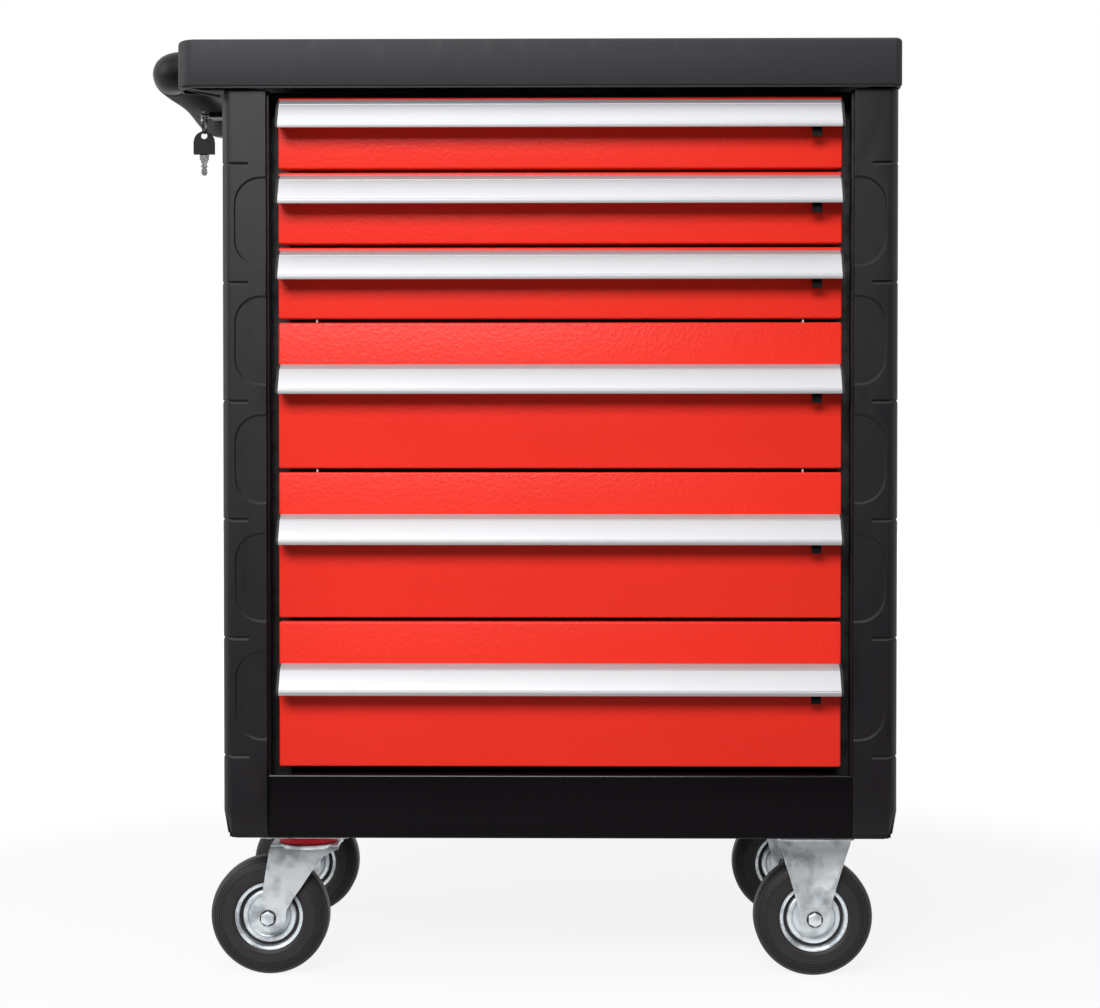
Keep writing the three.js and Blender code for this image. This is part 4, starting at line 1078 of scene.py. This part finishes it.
# %% [markdown]
# ## Tyres and hubs
# A wheel is lathe work. The tyre's section is half an ellipse on straight side walls, with four
# fine rings cut into the shoulder. The hub is pressed from sheet: a rolled outer bead, a deep
# ring groove, a raised dish with a step, and a tube for the axle. A dark rubber ring lies in the
# groove as painted shade, to keep the deep groove dark.

# %% Wheel sections in millimetres
wheel_radius, half_tyre, bore, crown_start, crown_half = 61.5, 18, 35.9, 45, 7
bead_radius, bead_drop, bead_slope = 38.5, 1.6, 2.5
shoulder_rings = (49, 51.5, 54, 56.5)
wheel_steps = 96


def tyre_half_width(radius):
    if radius <= crown_start:
        return half_tyre - bead_drop * max(0, bead_radius - radius) / bead_slope
    rise = (radius - crown_start) / (wheel_radius - crown_start)
    return crown_half + (half_tyre - crown_half) * math.sqrt(max(0, 1 - rise ** 2))


def tyre_points(*radii):
    return [(radius, tyre_half_width(radius)) for radius in radii]


tyre_side = tyre_points(bore, 37.2, bead_radius, 42, crown_start, 47)
for ring in shoulder_rings:
    for offset, depth in ((-0.55, 0), (-0.3, 0.7), (0.3, 0.7), (0.55, 0)):
        tyre_side.append((ring + offset, tyre_half_width(ring + offset) - depth))
tyre_side += tyre_points(58, 59.2, 60.2, 60.9, 61.35, wheel_radius)
hub_side = [
    (35.6, 12.5), (35.7, 15.4), (35.2, 16.4), (34.5, 16.4), (34, 15.2), (33.4, 15), (32.7, 15.6),
    (32, 15.4), (31.4, 13.6), (31, 6), (30.4, 4.4), (28.8, 4.2), (28.2, 5), (27.7, 11.4),
    (27.2, 12.7), (26.4, 13.4), (25.4, 13.7), (23.2, 13.6), (22.3, 12.6), (21.6, 11.9),
    (20.4, 11.7), (14, 12.1), (12.9, 13.2), (12, 15.8), (11, 16.4), (10.1, 17), (9.9, 19.6),
    (5.4, 19.8),
]
# A dark rubber ring for the hub's groove, painted shade that keeps the deep groove dark.
groove_shade_side = [(28.5, 4.6), (28.2, 8.6), (29.2, 9.6), (30.6, 9.6), (31.1, 8.6), (30.7, 4.6)]


def both_sides(side):
    """The side's points, and their mirror image from the last to the first."""
    return mm(side + [(radius, -height) for radius, height in reversed(side)])


def axle_of(node):
    """The axle's middle in a wheel or bracket."""
    middle = centre_of(node)
    return Vector((middle.x, middle.y, wheel_radius * MM))


print("points of the tyre's side", len(tyre_side))

# %% Four wheels
for end, side in CORNERS:
    tyre_node, hub_node = f"{end}_{side}_tyre", f"{end}_{side}_hub"
    middle = axle_of(tyre_node)
    tyre = lathe(both_sides(tyre_side), wheel_steps, Y, middle)
    hub = lathe(both_sides(hub_side), wheel_steps, Y, middle)
    # Dark rubber rings in the hub's grooves, as painted shade.
    groove_shades = join(*[
        lathe(mm([(r, sign * h) for r, h in groove_shade_side]), wheel_steps, Y, middle)
        for sign in (-1, 1)
    ])
    piece(tyre, tyre_node + "_rubber", tyre_node, tyre_rubber, angle=32)
    piece(hub, hub_node + "_pressing", hub_node, zinc, angle=40)
    piece(groove_shades, hub_node + "_groove_shade", hub_node, tyre_rubber, replaces=False,
          angle=40)
print("wheels dressed")

# %% [markdown]
# ## Axle bolts
# Each wheel turns on a bolt: a hexagon head with a chamfered face in front, a lock nut behind,
# and a duller washer under both, whose dark grey is a painted shadow round the head. A cone with
# six sides is the hexagon, and its outer rim is bevelled for the chamfer.

# %% Hexagons and bolts
bolt_radius, washer_radius, washer_height = 5 * MM, 8.5 * MM, 1.2 * MM
hex_radius, hex_height, hex_chamfer = 7.4 * MM, 3.8 * MM, 0.608 * MM


def hexagon(place, way):
    """A bolt head that stands on a place and points one way."""
    bm = bmesh.new()
    bmesh.ops.create_cone(
        bm, cap_ends=True, segments=6, radius1=hex_radius, radius2=hex_radius, depth=hex_height,
        matrix=Matrix.Translation(Z * hex_height / 2),
    )
    flat_rim(bm, hex_height, hex_chamfer, 2)
    return moved(turned(bm, towards(way)), place)


for end, side in CORNERS:
    node = f"{end}_{side}_axle"
    low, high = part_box(node)
    middle = (low + high) / 2
    seat = (high.y - low.y) / 2 - washer_height - hex_height
    shank = rod(bolt_radius, -seat, seat, 24, Y, middle)
    heads, washers = [], []
    for sign in (-1, 1):
        face = sign * (seat + washer_height)
        heads.append(hexagon(middle + Y * face, Y * sign))
        washers.append(rod(washer_radius, sign * seat, face, 32, Y, middle))
    piece(join(shank, *heads), node + "_bolt", node, zinc, soften=0.25 * MM)
    # The washers' dark grey is a painted shadow round each bolt head.
    piece(join(*washers), node + "_washers", node, shade_dark_steel, replaces=False,
          soften=0.2 * MM)
print("axles dressed")

# %% [markdown]
# ## Castor forks and brackets
# Both are pressed from one sheet. A U of sheet, with round bends where the legs leave the
# crown, is pulled along the castor and then intersected with the leg's side outline, just as a
# press cuts the blank and bends it. A shallow dish in each leg of the fixed brackets stiffens
# them and leaves a raised rim, which draws the bright line along its edge. The fork adds a
# round cup under the red ball race.

# %% Leg outlines in millimetres about the axle
leg_half, leg_sheet, leg_bend, plate_sheet = 23.6 * MM, 2.6 * MM, 4.2 * MM, 3 * MM
fork_top = 76.4
fork_left = [(3.1, fork_top), (0.5, 65.5), (-2.1, 49.9), (-4.8, 32.5), (-6.5, 20.4), (-9.1, 10)]
fork_right = [
    (19.4, 8.3), (26.4, 20.5), (35, 32.6), (45.5, 48.3), (57.6, 63.9), (66, 68.5), (73, 71.5),
    (73, fork_top),
]
bracket_side = [
    (17.6, 15), (21.6, 29.5), (25.5, 43), (29.6, 56), (32.5, 65.5), (36, 75.4), (38, 83), (38, 90),
]
dish_side = [(22.2, 43), (26.3, 56), (32, 76)]
dish_depth, dish_proud, dish_shares, legs_reach = 1.7 * MM, 0.05 * MM, (0.78, 1, 0.7), 0.1


def arc(middle_x, middle_z, radius, start, end, steps):
    """Points of an arc, with angles in degrees."""
    angles = [math.radians(start + (end - start) * step / steps) for step in range(steps + 1)]
    return [
        (middle_x + radius * math.cos(angle), middle_z + radius * math.sin(angle))
        for angle in angles
    ]


def mirrored(side):
    return [(-x, z) for x, z in reversed(side)]


fork_outline = fork_left + arc(3, 0.5, 15.5, 145, 370, 18) + fork_right
bracket_outline = mirrored(bracket_side) + arc(0, 0, 16.3, 190, 350, 16) + bracket_side
bracket_dish = mirrored(dish_side) + arc(0, 38, 17.8, 196, 344, 11) + dish_side
print("points of the outlines", len(fork_outline), len(bracket_outline), len(bracket_dish))


# %% Sheet with bends, outlines and dishes
def along_x(section, x0, x1, centre_y):
    return pull([(x0, centre_y + out, z) for out, z in section], X * (x1 - x0))


def bent(bm, centre_y, half, height, radius):
    """Rounds the long edges that lie at a distance from the middle and at a height."""
    return round_edges(bm, radius, 6, lambda edge: lies_at(edge, "z", height)
                       and (lies_at(edge, "y", centre_y - half)
                            or lies_at(edge, "y", centre_y + half)))


def side_prism(points, axle):
    """A side outline, in millimetres about the axle, pulled through both legs."""
    start = axle.y - legs_reach
    outline = [(axle.x + x * MM, start, axle.z + z * MM) for x, z in points]
    return pull(outline, Y * 2 * legs_reach)


def dish_tool(points, axle, sign):
    """A shallow tray shape that is sunk into a leg's outer face."""
    face_y = axle.y + sign * leg_half + sign * dish_proud
    outline = [(axle.x + x * MM, face_y, axle.z + z * MM) for x, z in points]
    bm = pull(outline, -Y * sign * dish_depth)
    inner = [vert for vert in bm.verts if abs(vert.co.y - face_y) > dish_depth / 2]
    scaled(bm, dish_shares, middle_of(inner), inner)
    return bm


def channel(x0, x1, centre_y, foot, crown):
    """The U of sheet before its sides are cut."""
    inner, under = leg_half - leg_sheet, crown - leg_sheet
    section = [
        (-leg_half, foot), (-leg_half, crown), (leg_half, crown), (leg_half, foot),
        (inner, foot), (inner, under), (-inner, under), (-inner, foot),
    ]
    bm = along_x(section, x0, x1, centre_y)
    bent(bm, centre_y, leg_half, crown, leg_bend)
    return bent(bm, centre_y, inner, under, leg_bend - leg_sheet)


def hat(x0, x1, centre_y, foot, top, reach):
    """Two legs that bend outwards into the flanges of the mounting plate."""
    inner, under = leg_half - leg_sheet, top - plate_sheet
    section = [
        (-reach, under), (-reach, top), (reach, top), (reach, under), (leg_half, under),
        (leg_half, foot), (inner, foot), (inner, under), (-inner, under), (-inner, foot),
        (-leg_half, foot), (-leg_half, under),
    ]
    bm = along_x(section, x0, x1, centre_y)
    return bent(bm, centre_y, leg_half, under, leg_bend)


# %% Rivets, plates and cups
plate_corner, leg_cut = 6 * MM, 30 * MM
rivet_seat, rivet_height = 0.2 * MM, 1.6 * MM
race_radius, race_bore, cup_steps = 31 * MM, 19 * MM, 64
cup_profile = mm([
    (13.5, -3.4), (20, -3.6), (27, -4.4), (30.5, -4.6), (32.6, -3.8), (33.5, -2.2),
    (33.5, -0.6), (32.9, 0), (13.5, 0),
])
pin_foot = mm([(0, 0), (7, 0), (11, 0.7), (13, 2), (13, 2.6), (9, 2.6)])
pin_radius, pin_hole_radius, pin_hole_reach = 9 * MM, 9.4 * MM, 10 * MM


def rivets(low, high, margin_x, margin_y, radius, flat):
    """Four flat rivet heads that hang from the corners of a plate whose top is the box's."""
    profile = [(0, rivet_seat), (radius, rivet_seat), (radius, -rivet_height / 2),
               (flat, -rivet_height), (0, -rivet_height)]
    return [
        lathe(profile, 24, Z, Vector((x, y, high.z - plate_sheet)))
        for x in (low.x + margin_x, high.x - margin_x)
        for y in (low.y + margin_y, high.y - margin_y)
    ]


def race_profile(half):
    """The red ring's section, with soft lower and stepped upper edge."""
    return [
        (race_bore, -half), (race_radius - 2 * MM, -half),
        (race_radius - 0.6 * MM, -half + 0.6 * MM), (race_radius, -half + 2 * MM),
        (race_radius, half - 2.4 * MM), (race_radius - 1.2 * MM, half - 1.2 * MM),
        (race_radius - 1.2 * MM, half), (race_bore, half),
    ]


print("points of the cup", len(cup_profile))

# %% A swivel castor
def swivel_castor(end):
    """Fork, red ring and mounting plate of the castor at one end of the left side."""
    fork_node, ring_node, plate_node = (
        f"{end}_swivel_{name}" for name in ("fork", "ring", "plate")
    )
    axle, crown = axle_of(f"{end}_left_tyre"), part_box(fork_node)[1].z
    ring_low, ring_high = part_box(ring_node)
    pivot = Vector(((ring_low.x + ring_high.x) / 2, axle.y, 0))
    at_crown = pivot + Z * crown
    bent_sheet = channel(axle.x - leg_cut, axle.x + 3 * leg_cut, axle.y, axle.z - leg_cut, crown)
    crown_height = (crown - axle.z) / MM
    outline = [(x, crown_height if z == fork_top else z) for x, z in fork_outline]
    fork = combine(bent_sheet, [side_prism(outline, axle)], "INTERSECT")
    fork = combine(fork, [lathe(cup_profile, cup_steps, Z, at_crown)], "UNION")
    pin_hole = rod(pin_hole_radius, -pin_hole_reach, pin_hole_reach, 32, Z, at_crown)
    fork = combine(fork, [pin_hole])
    piece(fork, f"{end}_fork_pressing", fork_node, zinc, soften=0.5 * MM, segments=3, angle=32)

    profile = race_profile((ring_high.z - ring_low.z) / 2)
    race = lathe(profile, cup_steps, Z, pivot + Z * (ring_low.z + ring_high.z) / 2)
    piece(race, f"{end}_race_ring", ring_node, brightened_ring_red, soften=0.3 * MM)

    low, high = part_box(plate_node)
    under = high.z - plate_sheet
    plate = block((low.x, low.y, under), high)
    round_edges(plate, plate_corner, 5, lambda edge: span(edge, "z") > MM)
    stem = pin_foot + [(pin_radius, under - low.z), (0, under - low.z)]
    pin = lathe(stem, 40, Z, pivot + Z * low.z)
    heads = rivets(low, high, margin_x=9 * MM, margin_y=9 * MM, radius=5 * MM, flat=3.5 * MM)
    piece(join(plate, pin, *heads), f"{end}_swivel_mount", plate_node, zinc, soften=0.4 * MM)


# %% A fixed castor
def fixed_castor(end):
    """The bracket at one end of the right side, with its dishes and rivets."""
    node = f"{end}_fixed_bracket"
    low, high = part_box(node)
    axle, reach = axle_of(node), (high.y - low.y) / 2
    bent_sheet = hat(low.x, high.x, axle.y, axle.z - leg_cut, high.z, reach)
    bracket = combine(bent_sheet, [side_prism(bracket_outline, axle)], "INTERSECT")
    dishes = [dish_tool(bracket_dish, axle, sign) for sign in (-1, 1)]
    bracket = combine(bracket, dishes)
    heads = rivets(low, high, margin_x=10 * MM, margin_y=5.6 * MM, radius=4.4 * MM, flat=3.4 * MM)
    piece(join(bracket, *heads), f"{end}_bracket_pressing", node, zinc, soften=0.5 * MM,
          segments=3, angle=32)


for end in ("front", "rear"):
    swivel_castor(end)
    fixed_castor(end)
print("castors dressed")

# %% [markdown]
# ## The push handle
# A bow with two fat moulded elbows carries a ribbed grip. The bow is one sweep: a circle is
# extruded out from the wall, widened over a collar into the elbow, spun a quarter turn, drawn
# in again for the tube inside the grip, and so on to the other end. The grip is turned on a
# lathe, with a slimmer waist and a fine groove every six millimetres, so that a hand doesn't
# slip.

# %% Sweeping a round rim
def ring_at(bm, place, way, radius, steps):
    """A circle of edges to sweep from."""
    made = bmesh.ops.create_circle(
        bm, cap_ends=True, segments=steps, radius=radius,
        matrix=Matrix.Translation(place) @ towards(way).to_4x4(),
    )
    return [edge for edge in bm.edges if all(vert in made["verts"] for vert in edge.verts)]


def grow(bm, rim, way, radius):
    """Extrudes the rim along a vector and gives it a new radius."""
    verts = verts_of(bmesh.ops.extrude_edge_only(bm, edges=rim)["geom"])
    middle = middle_of(verts)
    factor = radius / (verts[0].co - middle).length
    scaled(bm, (factor, factor, factor), middle, verts)
    bmesh.ops.translate(bm, vec=way, verts=verts)
    return [edge for edge in bm.edges if all(vert in verts for vert in edge.verts)]


def swing(bm, rim, hinge):
    """Spins the rim a quarter turn about an upright axis."""
    verts = list({vert for edge in rim for vert in edge.verts})
    last = bmesh.ops.spin(
        bm, geom=verts + rim, cent=hinge, axis=(0, 0, 1), dvec=(0, 0, 0), angle=-math.pi / 2,
        steps=14,
    )["geom_last"]
    return [item for item in last if isinstance(item, bmesh.types.BMEdge)]


# %% Bow
bow_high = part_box("handle_bow")[1]
grip_low, grip_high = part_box("handle_grip")
tube, elbow, turn_radius = 13 * MM, 20.6 * MM, 22 * MM
grip_x, grip_z = (grip_low.x + grip_high.x) / 2, (grip_low.z + grip_high.z) / 2
arm_front, arm_back = grip_low.y - turn_radius, grip_high.y + turn_radius
collar = mm([
    (0.4, 14.6), (0.8, 15.4), (9, 15.4), (0.6, 15), (0.5, 17.4), (1.6, 19.6), (2.2, 20.5),
    (1.2, 20.6),
])
bend_x = grip_x + turn_radius
straight = bow_high.x - bend_x - sum(step for step, radius in collar)
bow = bmesh.new()
rim = ring_at(bow, (bow_high.x, arm_front, grip_z), -X, tube, 44)
rim = grow(bow, rim, -X * straight, tube)
for step, radius in collar:
    rim = grow(bow, rim, -X * step, radius)
rim = swing(bow, rim, (bend_x, grip_low.y, grip_z))
rim = grow(bow, rim, Y * TINY, tube)
rim = grow(bow, rim, Y * (grip_high.y - grip_low.y - 2 * TINY), tube)
rim = grow(bow, rim, Y * TINY, elbow)
rim = swing(bow, rim, (bend_x, grip_high.y, grip_z))
radii = [radius for step, radius in reversed(collar)][1:] + [tube]
for (step, _), radius in zip(reversed(collar), radii):
    rim = grow(bow, rim, X * step, radius)
rim = grow(bow, rim, X * straight, tube)
bmesh.ops.holes_fill(bow, edges=rim, sides=0)
bmesh.ops.recalc_face_normals(bow, faces=bow.faces)
bow_piece = piece(bow, "handle_bow_moulding", "handle_bow", black_plastic, soften=0.3 * MM,
                  angle=25)
print("bow faces", len(bow_piece.data.polygons))

# %% Grip and wall flanges, with sections in millimetres
fat, waist, sleeve_bore, rib_pitch, rib_depth, first_rib = 21.35, 17.5, 13.5, 6, 1.1, 3.5
rib_points = ((0, 0), (0.5, -rib_depth), (1.3, -rib_depth), (1.8, 0), (3.4, 0.12))
sleeve_end = [(sleeve_bore, 0.3), (19.4, 0.3), (20.6, 0.9), (21.2, 2)]
grip_length = (grip_high.y - grip_low.y) / MM
sleeve = sleeve_end[:]
along = first_rib
while along < grip_length - 4:
    slim = fat - (fat - waist) * (1 - math.cos(math.tau * along / grip_length)) / 2
    sleeve += [(slim + rise, along + step) for step, rise in rib_points]
    along += rib_pitch
sleeve += [(radius, grip_length - height) for radius, height in reversed(sleeve_end)]
grip = lathe(mm(sleeve), 56, Y, Vector((grip_x, grip_low.y, grip_z)))
piece(grip, "handle_grip_sleeve", "handle_grip", grip_rubber, angle=28)

flange = mm([(13.4, 0), (17, 0), (17, -2.2), (16.4, -3.6), (15, -4.7), (13.8, -5), (13.4, -5)])
for node, y in (("handle_front_flange", arm_front), ("handle_rear_flange", arm_back)):
    disc = lathe(flange, 48, X, Vector((bow_high.x, y, grip_z)))
    piece(disc, node + "_disc", node, black_plastic, angle=30)
print("handle dressed")

# %% [markdown]
# ## Lock and keys
# The lock sits in the left side under the handle, with its key left in it. The key's head is a
# black D with a hole, thinner round the hole, on a steel blade. A split ring, wound as a spring
# of two turns, joins it to the spare key. The blade's outline has the bitting cut in, and a
# groove runs down its middle.

# %% A key that hangs down from its head
head_half, head_length, head_thick, head_reach = 10.8 * MM, 24 * MM, 5.6 * MM, 20 * MM
rim_thick, rim_length, head_hole, hole_drop = 2.4 * MM, 10.5 * MM, 3.3 * MM, 4.8 * MM
blade_half, blade_sink, groove_half, groove_deep = 1 * MM, 3 * MM, 0.55 * MM, 0.35 * MM
bitting = mm([
    (4.75, 0), (4.75, -5.4), (3.3, -6.6), (3.3, -8.6), (2.3, -9.6), (2.3, -10.6), (3.2, -11.8),
    (3.2, -12.8), (2.1, -13.8), (2.1, -14.8), (3.1, -16), (2.6, -17.2), (3.2, -18.4),
    (2.4, -20.6), (0.9, -22),
])
blade_end, full_blade, stub_blade = 20.5 * MM, 30 * MM, 18 * MM


def key_head():
    """The black head, with its foot on z = 0 and its round end up, lying in X and Z."""
    round_end = arc(0, head_length - head_half, head_half, 180, 0, 20)
    outline = [(-head_half, 0)] + round_end + [(head_half, 0)]
    bm = pull([(x, -head_thick / 2, z) for x, z in outline], Y * head_thick)
    tools = []
    for sign in (-1, 1):
        y0, y1 = sorted((sign * rim_thick / 2, sign * head_thick))
        low = (-head_reach, y0, head_length - rim_length)
        tools.append(block(low, (head_reach, y1, 2 * head_reach)))
    hole_place = Z * (head_length - hole_drop)
    tools.append(rod(head_hole, -head_reach / 2, head_reach / 2, 28, Y, hole_place))
    return combine(bm, tools)


def key_blade(deep):
    """The steel blade below the head, grooved on both sides, down to a depth."""
    side = [(x, z) for x, z in bitting if z >= -deep]
    outline = [(-x, z) for x, z in reversed(side)] + side
    bm = pull([(x, -blade_half, z or blade_sink) for x, z in outline], Y * 2 * blade_half)
    return combine(bm, [
        block((-groove_half, y - groove_deep, -blade_end),
              (groove_half, y + groove_deep, -blade_sink))
        for y in (-blade_half, blade_half)
    ])


print("points of the bitting", len(bitting))

# %% Lock body and plug
lock_low, lock_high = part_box("lock_body")
plug_low, plug_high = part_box("lock_cylinder")
lock_point = Vector((0, (lock_low.y + lock_high.y) / 2, (lock_low.z + lock_high.z) / 2))
bezel_height, plug_radius, plug_chamfer, cam_sheet = 2.4 * MM, 6 * MM, 0.8 * MM, 2.5 * MM
plug_face, plug_end = plug_low.x + 38 * MM, plug_high.x - cam_sheet
bezel = mm([
    (6.3, -2.4), (9.6, -2.4), (10.4, -2.1), (11.8, -1), (12, -0.4), (12, 0), (9.5, 0), (9.5, 22),
    (6.3, 22),
])
plug_side = [
    (0, plug_face), (plug_radius - plug_chamfer, plug_face),
    (plug_radius, plug_face + plug_chamfer), (plug_radius, plug_end), (0, plug_end),
]
body = lathe(bezel, 48, X, lock_point + X * (lock_low.x + bezel_height))
keyway = block(lock_point + Vector((plug_face - MM, -4 * MM, -1.2 * MM)),
               lock_point + Vector((plug_face + 3 * MM, 4 * MM, 1.2 * MM)))
cam = block((plug_end, lock_point.y - 4.5 * MM, plug_low.z),
            (plug_high.x, lock_point.y + 4.5 * MM, lock_point.z + 4 * MM))
plug = combine(lathe(plug_side, 36, X, lock_point), [keyway])
piece(body, "lock_bezel", "lock_body", nickel, soften=0.15 * MM, angle=30)
piece(join(plug, cam), "lock_plug", "lock_cylinder", nickel, soften=0.2 * MM)
print("lock at", [round(value, 4) for value in lock_point.yz])


# %% The key in the lock and the spare key
def onto_lock(bm):
    """Lays a hanging key along X, so that its blade points into the lock."""
    turned(turned(bm, Matrix.Rotation(math.radians(-90), 3, "Y")), QUARTER_X)
    return moved(bm, lock_point + X * (plug_low.x + head_length))


def onto_ring(bm):
    return moved(bm, spare_place)


spare_low, spare_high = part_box("spare_key")
spare_middle = (spare_low + spare_high) / 2
spare_place = Vector((spare_middle.x, spare_middle.y, spare_high.z - head_length))
for place, node, head_name, blade_name, deep in (
    (onto_lock, "lock_cylinder", "key_head", "key_blade", stub_blade),
    (onto_ring, "spare_key", "spare_key_head", "spare_key_blade", full_blade),
):
    piece(place(key_head()), head_name, node, black_plastic, soften=0.7 * MM, segments=3)
    piece(place(key_blade(deep)), blade_name, node, nickel, soften=0.15 * MM)
print("spare key hangs at", [round(value, 4) for value in spare_place])

# %% Split ring
ring_low, ring_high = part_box("key_ring")
wire, coil_pitch, coil_turns, coil_steps = 0.55 * MM, 1.15 * MM, 2, 120
coil_start = (ring_low + ring_high) / 2 - X * coil_pitch
loop_radius = (ring_high.z - ring_low.z) / 2 - wire
coil = bmesh.new()
bmesh.ops.create_circle(
    coil, cap_ends=True, segments=10, radius=wire,
    matrix=Matrix.Translation(coil_start + Z * loop_radius) @ QUARTER_X.to_4x4(),
)
bmesh.ops.spin(
    coil, geom=coil.verts[:] + coil.edges[:] + coil.faces[:], cent=coil_start, axis=(1, 0, 0),
    dvec=X * (coil_turns * coil_pitch / coil_steps), angle=coil_turns * math.tau,
    steps=coil_steps,
)
bmesh.ops.recalc_face_normals(coil, faces=coil.faces)
piece(coil, "split_ring", "key_ring", nickel, angle=50)
print("ring radius", round(loop_radius, 4))

print("pieces made", len(made_pieces))
